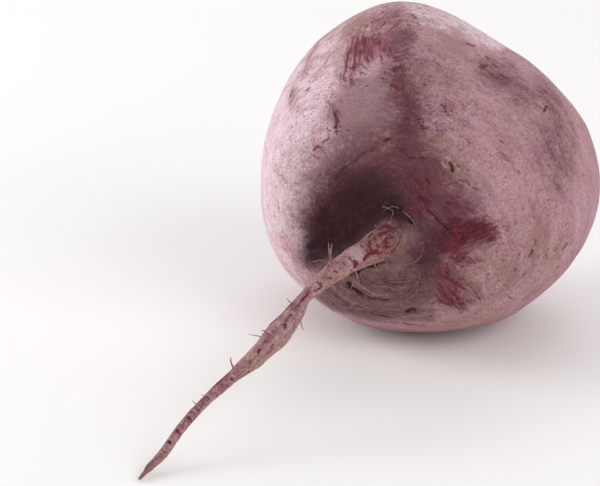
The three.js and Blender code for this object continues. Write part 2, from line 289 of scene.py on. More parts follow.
# ---- repeatable noise ----
def lattice(x, y, z, seed):
    """A repeatable number from -1 to 1 for each corner of a lattice."""
    n = (x * 374761393 + y * 668265263 + z * 974634777 + seed * 1274126177) & 0xFFFFFFFF
    n = ((n ^ (n >> 13)) * 1274126177) & 0xFFFFFFFF
    n = ((n ^ (n >> 16)) * 668265263) & 0xFFFFFFFF
    return ((n >> 8) & 0xFFFF) / 32767.5 - 1


def noise(points, size, seed):
    """Smooth noise, about -1 to 1, with bumps about `size` across."""
    places = points / size
    cell = np.floor(places).astype(np.int64)
    share = smooth(places - cell)
    total = 0
    for corner in itertools.product((0, 1), repeat=3):
        weight = np.prod(np.where(corner, share, 1 - share), axis=1)
        total = total + weight * lattice(*(cell + corner).T, seed)
    return total


def noises(points, layers, start=0):
    """A sum of noises, each given by its height, size and seed."""
    return sum((height * noise(points, size, seed) for height, size, seed in layers), start)


# ---- the skin's rings ----
class Skin:
    """Every point of the skin, from the root's tip to the crown, with where it lies on the beet."""

    def __init__(self):
        self.rings = []
        self.add_tip()
        self.add_root()
        self.add_collar()
        self.add_body()
        self.add_crown_end()
        self.points = np.vstack([r["points"] for r in self.rings])
        for key in ("around", "polar", "rootward", "meridian"):
            setattr(self, key, np.concatenate([r[key] for r in self.rings]))
        self.faces = self.join()
        self.normals = self.vertex_normals()

    def add(self, points, around, polar, rootward, meridian):
        full = np.ones(len(points))
        self.rings.append({
            "points": points, "around": around * full, "polar": polar * full,
            "rootward": rootward * full, "meridian": meridian * full})

    def sides(self, count):
        return np.arange(count) * TURN / count

    def add_tip(self):
        tip = ROOT_LINE.point(ROOT_LENGTH, 0, 0)
        self.add(tip[None], 0, 0, ROOT_LENGTH, -ROOT_LENGTH)

    def add_root(self):
        """The root is a little out of round, and its flats wind along it."""
        around = self.sides(ROOT_SIDES)
        for s in np.arange(ROOT_LENGTH - TIP_LENGTH, COLLAR_RISE + COLLAR_GAP, -ROOT_RING_STEP):
            flats = sum(share * np.cos(count * around + s / winding) for share, count, winding in ROOT_FLATS)
            self.add(ROOT_LINE.point(s, root_radius(s) * (1 + flats), around), around, 0, s, -s)

    def add_collar(self):
        """The skin turns up the root in a quarter curve, and from there it follows the bent root."""
        polar = self.first_polar()
        neck = root_radius(COLLAR_RISE)
        around = self.sides(COLLAR_SIDES)
        foot_along, foot_radius = body_profile(polar, around)
        for i in range(COLLAR_RINGS, 0, -1):
            share = i / COLLAR_RINGS
            turn = math.pi / 2 * share
            rise = ROOT_START + COLLAR_RISE - foot_along
            along = foot_along + rise * (1 - math.cos(turn))
            radius = neck + (foot_radius - neck) * (1 - math.sin(turn)) ** COLLAR_TUCK
            straight = axis_point(along, radius, around)
            bent = ROOT_LINE.point(along - ROOT_START, radius, around)
            lift = smooth(share)
            self.add(straight * (1 - lift) + bent * lift, around, polar * (1 - share),
                     COLLAR_RISE * share, GIRTH_RADIUS * polar * (1 - share) - COLLAR_RISE * share)

    def first_polar(self):
        return math.asin((COLLAR_RADIUS / GIRTH_RADIUS) ** (1 / BLUNTNESS))

    def add_body(self):
        first = self.first_polar()
        for i in range(BODY_RINGS):
            share = i / BODY_RINGS
            eased = share - END_CROWDING * math.sin(TURN * share) / TURN
            polar = first + (math.pi - first) * eased
            around = self.sides(self.body_sides(i, polar))
            along, radius = body_profile(polar, around)
            self.add(axis_point(along, radius, around), around, polar, 0, GIRTH_RADIUS * polar)

    def body_sides(self, i, polar):
        radius = GIRTH_RADIUS * math.sin(polar) ** BLUNTNESS
        if i == 0 or radius < FINE_RADIUS / 2:
            return COLLAR_SIDES
        return BODY_SIDES // 2 if radius < FINE_RADIUS else BODY_SIDES

    def add_crown_end(self):
        along, _ = body_profile(math.pi, 0.0)
        self.add(axis_point(along, 0, 0)[None], 0, math.pi, 0, GIRTH_RADIUS * math.pi)

    def join(self):
        faces = []
        start = 0
        for ring, after in zip(self.rings, self.rings[1:]):
            here, there = len(ring["points"]), len(after["points"])
            faces += band(start, here, start + here, there)
            start += here
        return faces

    def vertex_normals(self):
        corners = np.array([(a, b, c) for a, b, c, *_ in self.faces])
        a, b, c = (self.points[corners[:, k]] for k in range(3))
        flat = np.cross(b - a, c - a)
        normals = np.stack([
            sum(np.bincount(corners[:, k], flat[:, axis], len(self.points)) for k in range(3))
            for axis in range(3)], axis=1)
        return normals / np.maximum(np.linalg.norm(normals, axis=1), 1e-12)[:, None]


def band(start, count, next_start, next_count):
    """Faces between two rings whose counts are equal or divide each other."""
    most = max(count, next_count)
    i = np.arange(most)
    a = start + i * count // most % count
    b = start + (i + 1) * count // most % count
    c = next_start + (i + 1) * next_count // most % next_count
    d = next_start + i * next_count // most % next_count
    faces = []
    for quad in zip(a.tolist(), b.tolist(), c.tolist(), d.tolist()):
        corners = [p for k, p in enumerate(quad) if p != quad[k - 1]]
        if len(set(corners)) >= 3:
            faces.append(corners)
    return faces


# ---- marks placed where the view shows them ----
RAGGED_EDGE = [(1.5, 6, (11, 12)), (0.8, 2.2, (13, 14))]  # reach and size in mm, seeds for both ways
RAGGED_WIDTH = (0.6, 1.1, 15)  # share of a line's width, size in mm, seed
LINE_STEP = 4  # pixels between the places that a line is drawn through
THIN_END = 0.3  # share of a line's width that is left at its ends
TINY = 1e-9


class Chart:
    """Finds the skin under a pixel of the view, and measures from places on it."""

    def __init__(self, skin, where):
        self.skin = skin
        self.where = where
        right, up, back = view_axes()
        from_eye = skin.points - view_place()
        depth = -from_eye @ back
        across = FOCAL_PIXELS * (from_eye @ right) / depth + VIEW_WIDTH / 2
        down = VIEW_HEIGHT / 2 - FOCAL_PIXELS * (from_eye @ up) / depth
        self.facing = -(from_eye * skin.normals).sum(axis=1) / depth
        self.seen = np.stack([across, down], axis=1)
        self.seen[~((self.facing > 0) & where)] = np.inf
        self.flat = (GIRTH_RADIUS * skin.polar)[:, None] * np.stack(
            [np.sin(skin.around), np.cos(skin.around)], axis=1)
        self.ragged_flat = self.flat
        for reach, size, seeds in RAGGED_EDGE:
            both_ways = [noise(skin.points, size, SEED + seed) for seed in seeds]
            self.ragged_flat = self.ragged_flat + reach * np.array(both_ways).T
        share, size, seed = RAGGED_WIDTH
        self.ragged_width = 1 + share * noise(skin.points, size, SEED + seed)

    def under(self, pixels):
        """The numbers of the skin's points that show at these pixels."""
        return [int(np.argmin(((self.seen - pixel) ** 2).sum(axis=1))) for pixel in pixels]

    def from_line(self, pixels):
        """Each point's distance from a line through these pixels, more beside its thin ends."""
        path = np.array(pixels, float)
        steps = [path[:1]]
        for a, b in zip(path, path[1:]):
            count = max(1, int(np.linalg.norm(b - a) / LINE_STEP))
            steps.append(a + (b - a) * (np.arange(1, count + 1) / count)[:, None])
        places = self.skin.points[self.under(np.vstack(steps))]
        lengths = np.linalg.norm(np.diff(places, axis=0), axis=1)
        travelled = np.concatenate([[0], np.cumsum(lengths)]) / max(lengths.sum(), TINY)
        nearest = np.full(len(self.skin.points), np.inf)
        for i, (a, b) in enumerate(zip(places, places[1:])):
            span = b - a
            share = np.clip(((self.skin.points - a) @ span) / max(span.dot(span), TINY), 0, 1)
            gap = np.linalg.norm(self.skin.points - a - share[:, None] * span, axis=1)
            passed = travelled[i] + share * (travelled[i + 1] - travelled[i])
            fullness = THIN_END + (1 - THIN_END) * np.sqrt(np.clip(4 * passed * (1 - passed), 0, 1))
            nearest = np.minimum(nearest, gap / fullness)
        return nearest * self.ragged_width

    def inside(self, pixels):
        """How far each point lies inside a ragged outline through these pixels; below 0 outside."""
        corners = self.flat[self.under(pixels)]
        flat = self.ragged_flat
        nearest = np.full(len(flat), np.inf)
        within = np.zeros(len(flat), bool)
        for a, b in zip(corners, np.roll(corners, -1, axis=0)):
            span = b - a
            share = np.clip(((flat - a) @ span) / max(span.dot(span), TINY), 0, 1)
            nearest = np.minimum(nearest, np.linalg.norm(flat - a - share[:, None] * span, axis=1))
            crosses = (a[1] > flat[:, 1]) != (b[1] > flat[:, 1])
            rise = span[1] if abs(span[1]) > TINY else TINY
            within ^= crosses & (flat[:, 0] < a[0] + (flat[:, 1] - a[1]) * span[0] / rise)
        return np.where(within, nearest, -nearest)

    def patch(self, pixels, softness):
        """1 inside a ragged outline and 0 outside it, with a soft edge."""
        return smooth(self.inside(pixels) / softness + 0.5) * self.where

    def line(self, pixels, width):
        """1 on a line, falling off to its sides."""
        return bell(self.from_line(pixels) / width) * self.where

    def along(self, pixels):
        """Places on the skin measured along and across the line between two pixels."""
        start, end = self.flat[self.under(pixels)]
        along = (end - start) / np.linalg.norm(end - start)
        offset = self.flat - start
        return np.stack([offset @ along, offset @ np.array([-along[1], along[0]])], axis=1)


def heading(azimuth, elevation):
    """The direction that points away from the body at these angles."""
    return (math.sin(azimuth) * math.cos(elevation), -math.cos(azimuth) * math.cos(elevation),
            math.sin(elevation))


def view_axes():
    back = np.array(heading(VIEW_AZIMUTH, VIEW_ELEVATION))
    right = np.array([math.cos(VIEW_AZIMUTH), math.sin(VIEW_AZIMUTH), 0])
    return right, np.cross(back, right), back


def view_place():
    right, up, back = view_axes()
    across = (AIM_PIXEL[0] - VIEW_WIDTH / 2) * VIEW_DISTANCE / FOCAL_PIXELS
    down = (AIM_PIXEL[1] - VIEW_HEIGHT / 2) * VIEW_DISTANCE / FOCAL_PIXELS
    return np.array(AIM_POINT) - across * right + down * up + VIEW_DISTANCE * back


# Patches on the body, by layer: strength, softness of the edge in mm, outline in pixels. The comment
# over each layer's patches names them in order.
PATCHES = {
    "film": [
        # film over the crest, film above the hollow, grey at the top right, pale right of the scabs
        (1.0, 11, [(344, 88), (360, 76), (378, 72), (392, 78), (394, 108), (388, 130), (366, 142),
            (342, 140), (326, 124), (334, 100)]),
        (0.7, 9, [(320, 140), (340, 126), (372, 126), (386, 138), (352, 154), (326, 168)]),
        (0.6, 8, [(436, 24), (462, 26), (476, 50), (452, 64), (436, 50)]),
        (0.5, 8, [(460, 156), (486, 160), (494, 186), (480, 196), (466, 182)]),
    ],
    "chalk_and_highlight": [
        # film beside the crest, top rim; the top rim's pale is a painted highlight
        (1.0, 3, [(333, 54), (346, 46), (351, 54), (345, 74), (334, 78)]),
        (0.4, 9, [(372, 12), (400, 3), (440, 6), (468, 22), (440, 26), (400, 20)]),
    ],
    "wine_and_shade": [
        # Dark wine skin, deepened into painted shade in every patch but the magenta beside the scuff
        # notch's shade, valley, hollow's upper edge, hollow, right of the hollow, shade under the root,
        # shade under the second scuff, magenta beside the scuff, shade under the shoulder's spots, shade
        # over the hollow
        (0.55, 6, [(388, 34), (410, 24), (418, 32), (408, 48), (392, 56), (384, 48)]),
        (0.97, 13, [(393, 66), (404, 64), (418, 92), (428, 124), (436, 150), (446, 186), (440, 210),
            (400, 200), (384, 160), (386, 122), (390, 94)]),
        (0.85, 15, [(296, 222), (306, 184), (324, 156), (346, 136), (372, 122), (396, 118), (400, 152),
            (350, 180), (324, 208), (308, 240)]),
        (1.0, 12, [(299, 244), (303, 212), (317, 186), (340, 162), (372, 146), (404, 138), (432, 160),
            (446, 200), (440, 232), (410, 240), (372, 236), (352, 254), (326, 270), (304, 266)]),
        (1.05, 13, [(426, 182), (460, 190), (480, 206), (478, 228), (452, 236), (444, 262), (438, 290),
            (420, 296), (402, 280), (404, 250), (418, 214)]),
        (0.85, 9, [(360, 266), (404, 258), (428, 272), (430, 296), (404, 304), (372, 290)]),
        (0.75, 8, [(430, 262), (448, 262), (470, 278), (476, 300), (460, 313), (442, 305), (430, 286)]),
        (0.35, 8, [(486, 226), (500, 226), (502, 248), (486, 250)]),
        (0.48, 9, [(464, 58), (484, 54), (512, 60), (526, 84), (534, 104), (516, 108), (500, 94),
            (476, 82)]),
        (0.65, 10, [(354, 122), (384, 118), (390, 150), (356, 156)]),
    ],
    "violet_and_shade": [
        # Darker violet skin; in the notch, above the hollow, at the foot of the flank, under the olive and in
        # the band near the right edge it is painted shade
        # notch, grey under the scabs, left of the top, right of the valley, lower right, above the
        # hollow, foot of the cheek, foot of the flank, shade under the olive, band, grey at the upper
        # right
        (1.0, 5, [(392, 36), (408, 26), (416, 30), (406, 44), (394, 52), (388, 48)]),
        (1.3, 8, [(426, 160), (452, 164), (465, 182), (454, 202), (428, 196)]),
        (0.9, 14, [(404, 50), (426, 54), (436, 84), (434, 108), (412, 96)]),
        (0.5, 18, [(392, 48), (430, 44), (462, 70), (476, 112), (472, 152), (440, 176), (404, 160),
            (392, 110)]),
        (0.45, 18, [(490, 200), (540, 206), (562, 240), (530, 280), (496, 262), (480, 230)]),
        (1.0, 10, [(300, 214), (312, 186), (330, 160), (352, 144), (376, 140), (378, 156), (350, 172),
            (330, 194), (312, 226)]),
        (0.9, 14, [(446, 184), (476, 192), (500, 214), (492, 244), (464, 262), (446, 240), (440, 206)]),
        (0.8, 12, [(298, 232), (306, 250), (318, 290), (304, 280), (294, 256)]),
        (0.5, 14, [(470, 246), (500, 240), (530, 250), (528, 280), (500, 292), (470, 286)]),
        (0.9, 15, [(544, 88), (562, 104), (575, 140), (573, 176), (562, 200), (543, 194), (537, 150),
            (534, 116)]),
        (0.7, 14, [(504, 82), (540, 78), (562, 98), (548, 114), (512, 112)]),
    ],
    "pale": [
        # top rim's bloom, bloom low on the flank, bloom high on the flank; each a pale bloom that is partly a
        # painted highlight
        (0.75, 8, [(396, 5), (420, 4), (446, 9), (476, 24), (506, 46), (494, 50), (460, 34), (424, 20)]),
        (1.35, 9, [(278, 120), (300, 114), (312, 122), (308, 146), (290, 158), (277, 144)]),
        (0.75, 7, [(312, 84), (330, 82), (338, 104), (324, 114), (310, 102)]),
    ],
    "tan": [
        # tan between the strokes, root's foot, olive, tan at the bottom, tan streak, tan low on the
        # cheek, tan top right, tan over the cheek
        (0.6, 10, [(448, 274), (470, 264), (486, 280), (490, 300), (470, 310), (458, 292)]),
        (1.3, 4, [(388, 230), (400, 226), (411, 238), (409, 256), (396, 267), (380, 268), (378, 262)]),
        (0.8, 14, [(476, 260), (498, 250), (522, 252), (526, 270), (500, 288), (480, 284)]),
        (0.5, 12, [(410, 312), (470, 300), (520, 290), (512, 314), (470, 334), (410, 334)]),
        (0.9, 3.5, [(338, 42), (348, 24), (366, 14), (368, 24), (352, 38)]),
        (0.42, 15, [(504, 236), (556, 214), (574, 232), (556, 276), (516, 304), (494, 284)]),
        (0.2, 10, [(440, 20), (484, 34), (500, 56), (470, 60), (442, 48)]),
        (0.4, 9, [(504, 110), (524, 112), (530, 140), (514, 156), (500, 140)]),
    ],
    "painted_shade": [
        # painted shade: shade in the hollow, deep of the hollow, shade right of the root
        (0.75, 13, [(300, 250), (305, 216), (321, 190), (346, 176), (376, 168), (400, 176), (414, 204),
            (404, 222), (378, 228), (352, 248), (328, 266), (306, 266)]),
        (1.0, 9, [(303, 252), (306, 224), (318, 202), (336, 198), (344, 212), (352, 222), (362, 196),
            (376, 186), (396, 186), (414, 202), (410, 222), (378, 228), (352, 248), (328, 266),
            (306, 266)]),
        (0.5, 8, [(404, 206), (424, 210), (438, 236), (436, 270), (420, 284), (408, 268), (414, 240)]),
    ],
    "cork": [
        # under the root, collar
        (1.0, 9, [(308, 286), (322, 270), (368, 258), (404, 254), (428, 268), (436, 296), (425, 319),
            (388, 322), (353, 316), (334, 308), (316, 296)]),
        (0.9, 6, [(386, 198), (408, 206), (422, 226), (420, 250), (408, 262), (404, 236), (396, 216)]),
    ],
    "scab": [
        # scab one, scab two, scab three
        (1.1, 4, [(429, 134), (441, 129), (448, 134), (440, 145), (431, 143)]),
        (1.1, 4, [(420, 149), (432, 146), (437, 152), (430, 158), (421, 156)]),
        (1.0, 3, [(441, 156), (448, 154), (461, 166), (461, 174), (452, 176), (446, 168)]),
    ],
    "flecked": [
        # valley, right of the valley, low right, hollow's right side, hollow, cheek's foot, top, under
        # the crest, flank, shoulder
        (0.9, 12, [(388, 56), (410, 54), (428, 110), (440, 150), (424, 160), (396, 150), (386, 110)]),
        (0.6, 14, [(406, 50), (440, 56), (470, 100), (468, 150), (438, 160), (424, 110)]),
        (0.45, 14, [(480, 210), (520, 220), (560, 200), (560, 250), (520, 290), (480, 310), (470, 260)]),
        (1.0, 9, [(376, 146), (410, 140), (432, 158), (442, 188), (444, 218), (426, 220), (410, 200),
            (396, 172), (372, 160)]),
        (0.5, 10, [(316, 230), (332, 196), (372, 172), (388, 190), (360, 232), (326, 256)]),
        (0.6, 9, [(444, 180), (476, 200), (500, 220), (480, 262), (450, 280), (436, 240)]),
        (1.0, 9, [(346, 30), (376, 8), (428, 6), (440, 22), (412, 42), (380, 36), (352, 44)]),
        (0.7, 8, [(330, 74), (350, 76), (372, 68), (386, 62), (380, 86), (340, 92)]),
        (0.35, 12, [(300, 70), (322, 50), (330, 90), (316, 140), (290, 150), (284, 110)]),
        (0.6, 9, [(476, 56), (512, 70), (548, 100), (530, 110), (496, 92)]),
    ],
}

# Worn places, where strokes of bare crimson skin run one way: strength, softness in mm, how rosy they
# are, the line that the strokes follow and the outline, both in pixels.
SCUFFS = [
    # crest
    (0.95, 10, 0.9, [(362, 34), (366, 70)], [(348, 44), (360, 30), (378, 32), (392, 38), (394, 58),
        (378, 58), (364, 70), (352, 82), (340, 80), (345, 60)]),
    # above the notch
    (0.8, 5, 0.8, [(386, 34), (402, 20)], [(384, 36), (396, 18), (408, 18), (396, 38)]),
    # under the notch
    (0.9, 5, 0.4, [(391, 53), (407, 50)], [(388, 48), (408, 46), (414, 55), (392, 62)]),
    # in the valley
    (0.5, 11, 0.2, [(394, 72), (392, 92)], [(387, 64), (403, 64), (404, 94), (390, 98)]),
    # left of the film
    (0.75, 5, 0.6, [(331, 104), (340, 124)], [(325, 100), (337, 104), (345, 126), (334, 128)]),
    # flank low
    (0.6, 6, 1.0, [(300, 140), (316, 158)], [(310, 140), (322, 142), (316, 162), (304, 160)]),
    # flank streak one
    (0.5, 6, 1.0, [(320, 40), (306, 76)], [(312, 44), (322, 36), (316, 66), (304, 80)]),
    # flank streak two
    (0.7, 5, 1.0, [(300, 86), (288, 110)], [(294, 84), (301, 86), (297, 108), (288, 108)]),
    # beside the root
    (1.35, 8, 0.0, [(440, 250), (490, 226)], [(438, 248), (440, 234), (451, 226), (468, 220), (488, 219),
        (497, 226), (490, 240), (474, 247), (468, 254), (460, 265), (444, 265), (437, 256)]),
    # under that
    (0.7, 7, 0.2, [(446, 258), (470, 266)], [(444, 256), (466, 252), (480, 262), (468, 272), (448, 270)]),
    # second
    (1.1, 9, 0.3, [(434, 272), (460, 304)], [(428, 266), (446, 270), (464, 282), (470, 300), (458, 311),
        (444, 306), (434, 288)]),
    # brown strokes
    (0.5, 6, 0.5, [(464, 284), (480, 302)], [(462, 282), (474, 280), (488, 296), (480, 306), (466, 300)]),
    # shoulder spots
    (0.6, 7, 0.5, [(480, 66), (508, 82)], [(478, 62), (494, 62), (512, 78), (506, 88), (488, 80)]),
    # top left
    (0.6, 7, 1.0, [(388, 14), (372, 26)], [(362, 20), (400, 6), (406, 20), (372, 34)]),
    # cheek one
    (0.4, 6, 0.9, [(494, 142), (512, 158)], [(492, 138), (510, 142), (514, 162), (496, 162)]),
    # right of the hollow
    (0.75, 8, 0.2, [(412, 178), (430, 208)], [(404, 172), (420, 174), (438, 208), (424, 212)]),
    # under the grey
    (0.45, 8, 0.8, [(440, 204), (480, 214)], [(438, 196), (470, 194), (484, 210), (480, 222),
        (446, 220)]),
]

# Lines on the body, by layer: strength, half width in mm, paths in pixels. The comment says what
# the lines are.
LINES = {
    "mark": [
        # scratch beside the root, crest streak, valley hook, speck by the crest, speck on top, spot over
        # the hollow, dash, top dash, speck under the film, pit in scab three, hook, dot by the crest, dot
        # at the band, dash low on the right, bottom dash, slot's thin end, slot under the root
        (0.9, 0.45, [[(427, 211), (436, 219), (447, 230), (455, 237)]]),
        (0.54, 0.22, [[(410, 55), (417, 60), (425, 67)]]),
        (0.6, 0.35, [[(391, 76), (394, 68), (400, 67), (401, 71)]]),
        (0.7, 0.45, [[(350, 78), (353, 80)]]),
        (0.7, 0.4, [[(344, 76), (346, 79)], [(417, 18), (419, 21)], [(425, 179), (430, 183)]]),
        (0.8, 0.5, [[(411, 13), (414, 17)], [(383, 141), (390, 139)]]),
        (0.75, 0.4, [[(442, 104), (448, 116)]]),
        (0.6, 0.3, [[(437, 130), (443, 131)], [(438, 10), (445, 13)], [(334, 134), (338, 131)]]),
        (0.8, 0.3, [[(408, 158), (416, 158)], [(419, 158), (428, 158)]]),
        (0.8, 0.35, [[(415, 117), (423, 122)], [(417, 123), (425, 128)]]),
        (0.7, 0.3, [[(419, 129), (425, 133)], [(404, 117), (410, 119)], [(327, 128), (330, 131)],
            [(333, 129), (336, 127)]]),
        (1.0, 0.45, [[(450, 163), (453, 171)]]),
        (0.7, 0.35, [[(366, 29), (368, 25), (373, 23)]]),
        (0.7, 0.5, [[(359, 70), (364, 73)]]),
        (0.9, 0.5, [[(544, 112), (547, 106)], [(529, 257), (533, 250)]]),
        (1.0, 0.6, [[(406, 313), (411, 310), (416, 311)]]),
        (0.8, 0.4, [[(371, 313), (380, 315), (388, 317), (395, 318)],
            [(360, 296), (372, 299), (388, 300)]]),
        (1.0, 0.9, [[(347, 283), (352, 289), (360, 296)]]),
    ],
    "fleck": [
        # tick over the scuff, tick left of the scuff, stroke under the scuff, fan, crest streak, speck by
        # the crest, spot over the hollow, spot low, line under scab three, crimson under the film, spot
        # in the valley, shoulder spot, bottom dash
        (0.81, 0.28, [[(457, 231), (454, 223)], [(466, 229), (467, 219)], [(474, 227), (476, 217)],
            [(482, 226), (485, 217)], [(426, 243), (434, 252)], [(468, 257), (475, 264)],
            [(457, 281), (467, 291)], [(440, 300), (451, 307)]]),
        (0.72, 0.28, [[(496, 230), (498, 222)], [(455, 262), (464, 267)]]),
        (0.72, 0.22, [[(423, 248), (429, 253)]]),
        (0.81, 0.33, [[(448, 256), (461, 262)]]),
        (0.81, 0.3, [[(430, 271), (437, 281), (443, 290)]]),
        (0.9, 0.33, [[(437, 271), (449, 279), (463, 289)], [(446, 286), (455, 294), (463, 308)]]),
        (0.9, 0.3, [[(442, 291), (449, 299), (458, 308)]]),
        (0.72, 0.25, [[(474, 290), (480, 301)]]),
        (0.63, 0.25, [[(464, 283), (474, 290)]]),
        (0.72, 0.39, [[(353, 38), (349, 56), (344, 74)]]),
        (0.72, 0.33, [[(359, 38), (357, 52), (353, 66)], [(366, 38), (362, 50), (359, 60)],
            [(373, 35), (378, 42), (380, 49)], [(384, 33), (391, 27), (399, 20)]]),
        (0.63, 0.28, [[(379, 30), (385, 24), (391, 21)]]),
        (0.8, 0.5, [[(352, 68), (356, 66)], [(412, 164), (416, 170)], [(369, 152), (374, 148)],
            [(523, 299), (528, 297)]]),
        (0.6, 0.4, [[(461, 180), (470, 185), (480, 191)]]),
        (0.8, 0.4, [[(314, 151), (319, 146)], [(554, 251), (557, 248)]]),
        (0.7, 0.35, [[(322, 143), (328, 138)]]),
        (1.0, 0.9, [[(400, 151), (404, 149)]]),
        (0.9, 0.8, [[(392, 84), (397, 89)], [(492, 65), (497, 68)]]),
        (0.9, 0.9, [[(481, 68), (486, 66)]]),
        (1.0, 0.7, [[(498, 73), (505, 79)]]),
        (0.7, 0.8, [[(486, 56), (490, 59)]]),
        (0.7, 0.6, [[(467, 45), (473, 47)]]),
        (0.9, 0.4, [[(562, 250), (566, 244)]]),
        (0.7, 0.5, [[(503, 284), (507, 285)], [(555, 268), (558, 266)]]),
        (0.7, 0.4, [[(508, 297), (512, 298)]]),
        (0.6, 0.6, [[(553, 276), (558, 274)]]),
        (1.0, 0.6, [[(403, 323), (409, 325), (416, 325)]]),
    ],
    "thread_and_highlight": [
        # strand over scab three, second strand, pale arc, foot fibre, hollow line
        (0.9, 0.3, [[(446, 158), (452, 162), (460, 170)]]),
        (0.8, 0.3, [[(442, 162), (448, 168)]]),
        (0.6, 0.3, [[(352, 276), (358, 284), (368, 291), (384, 295), (404, 292)]]),
        (0.5, 0.3, [[(356, 273), (364, 281), (376, 287), (392, 288)]]),
        (0.55, 0.35, [[(336, 288), (350, 300), (370, 307), (396, 309), (414, 304)]]),
        (0.5, 0.35, [[(328, 292), (348, 306), (372, 311), (396, 314)]]),
        (0.45, 0.3, [[(384, 305), (402, 302), (416, 294), (424, 284)]]),
        (0.7, 0.3, [[(368, 269), (378, 271), (387, 268)]]),
        (0.3, 0.35, [[(308, 232), (322, 208), (344, 182)]]),
    ],
    "tan": [
        # line by the crest
        (0.9, 0.5, [[(325, 66), (330, 56), (337, 50)]]),
    ],
    "painted_shade": [
        # painted shade in creases: crevice above the root, crevice under the root, crevice left of the root,
        # hollow line
        (1.0, 1.0, [[(384, 209), (394, 208), (404, 214), (411, 224)],
            [(352, 274), (366, 266), (378, 262), (386, 258)]]),
        (1.0, 1.8, [[(308, 248), (318, 242), (330, 246)]]),
        (0.6, 0.35, [[(302, 226), (318, 200), (342, 172), (368, 150)]]),
        (0.5, 0.3, [[(306, 212), (322, 190), (344, 168)]]),
    ],
}

# Lines on the tap root, in the same terms.
ROOT_LINES = {
    "film": [
        # smooth band
        (1.0, 2.3, [[(356, 250), (360, 258)]]),
    ],
    "mark": [
        # crease before the band, hook, pore, crease after the band, ring, cap, spot on the neck, spot far
        # out
        (0.8, 0.32, [[(357, 243), (362, 246), (367, 252)], [(322, 287), (315, 291)],
            [(265, 341), (266, 343)]]),
        (0.7, 0.32, [[(345, 256), (349, 257), (353, 261)], [(250, 360), (251, 364)],
            [(230, 378), (233, 381)], [(195, 406), (200, 411)]]),
        (0.8, 0.35, [[(377, 231), (375, 236)], [(317, 282), (322, 286)]]),
        (0.6, 0.3, [[(341, 262), (345, 265)]]),
        (0.7, 0.3, [[(220, 385), (223, 388)], [(279, 318), (283, 315)], [(283, 323), (285, 327)]]),
        (0.9, 0.36, [[(258, 352), (260, 348)]]),
        (0.6, 0.45, [[(271, 348), (272, 344)]]),
    ],
    "fleck": [
        # crimson after the band, cap, crimson on the lower side, worn spot, crimson where it widens,
        # branch, ring, streak before the band, spot on the neck, spot far out, magenta band, edge streak,
        # streak on the swelling
        (1.0, 0.7, [[(354, 261), (357, 264), (354, 268)], [(379, 229), (384, 226), (389, 227)]]),
        (1.0, 0.6, [[(364, 261), (368, 254), (377, 252)], [(168, 440), (171, 444)]]),
        (1.0, 1.1, [[(372, 253), (380, 251), (387, 246)]]),
        (0.9, 0.45, [[(372, 254), (370, 246)], [(379, 250), (377, 242)]]),
        (1.0, 0.5, [[(386, 245), (387, 237)]]),
        (0.9, 0.5, [[(380, 236), (383, 232), (389, 231)]]),
        (0.9, 0.4, [[(371, 231), (370, 235)], [(187, 417), (192, 422)]]),
        (0.8, 0.4, [[(368, 242), (370, 247)], [(310, 291), (304, 298), (299, 304)],
            [(334, 270), (337, 273)], [(206, 396), (209, 400)], [(176, 430), (180, 434)],
            [(160, 449), (164, 453)]]),
        (0.45, 2.0, [[(290, 303), (298, 311)]]),
        (0.7, 0.5, [[(287, 309), (279, 315), (270, 325)]]),
        (0.6, 0.5, [[(262, 334), (252, 345), (243, 356)]]),
        (0.6, 0.4, [[(235, 366), (224, 377), (214, 388)]]),
        (0.7, 0.35, [[(291, 314), (287, 320), (284, 329)], [(327, 277), (331, 279)]]),
    ],
    "thread_and_highlight": [
        # upper edge, a painted highlight along the root's top; lower edge, pale spot
        (1.2, 0.8, [[(355, 243), (361, 236), (368, 229), (375, 226)]]),
        (0.7, 0.35, [[(316, 296), (332, 287), (346, 279), (358, 270)]]),
        (0.8, 0.5, [[(211, 396), (213, 397)], [(185, 423), (187, 425)]]),
        (0.7, 0.4, [[(180, 429), (182, 431)]]),
    ],
}

# Creases and folds: depth (below 0 it stands up), half width in mm, path in pixels.
CREASES = [
    (1.1, 0.9, [(347, 283), (352, 289), (360, 296), (370, 299)]),  # slot under the root
    (-0.45, 1.1, [(354, 276), (364, 286), (380, 292), (400, 291), (416, 282)]),  # fold above the slot
    (-0.5, 1.3, [(334, 288), (350, 300), (372, 307), (396, 307), (420, 296)]),  # fold below the slot
    (-0.4, 1.2, [(326, 292), (348, 308), (372, 315), (400, 318)]),  # lowest fold
    (0.8, 0.9, [(384, 209), (394, 208), (404, 214), (411, 224)]),  # crease above the root
    (0.9, 1.3, [(308, 248), (318, 242), (330, 246)]),  # crease left of the root
    (0.8, 1.0, [(352, 274), (366, 266), (378, 262), (386, 258)]),  # crease under the root
    (0.45, 0.7, [(356, 273), (368, 283), (386, 287), (404, 280)]),  # arc under the root
    (0.6, 0.7, [(406, 313), (411, 310), (416, 311)]),  # bottom dash one
    (0.4, 0.6, [(371, 313), (380, 315), (388, 317), (395, 318)]),  # bottom dash three
    (0.3, 0.6, [(427, 211), (436, 219), (447, 230)]),  # scratch beside the root
    (0.2, 0.6, [(461, 180), (470, 185), (480, 191)]),  # line under scab three
    (0.4, 0.45, [(450, 163), (453, 171)]),  # pit in scab three
    (0.35, 0.7, [(302, 226), (318, 200), (342, 172), (368, 150)]),  # hollow's rim
    (0.25, 0.6, [(306, 212), (322, 190), (344, 168)]),  # second line along the rim
]

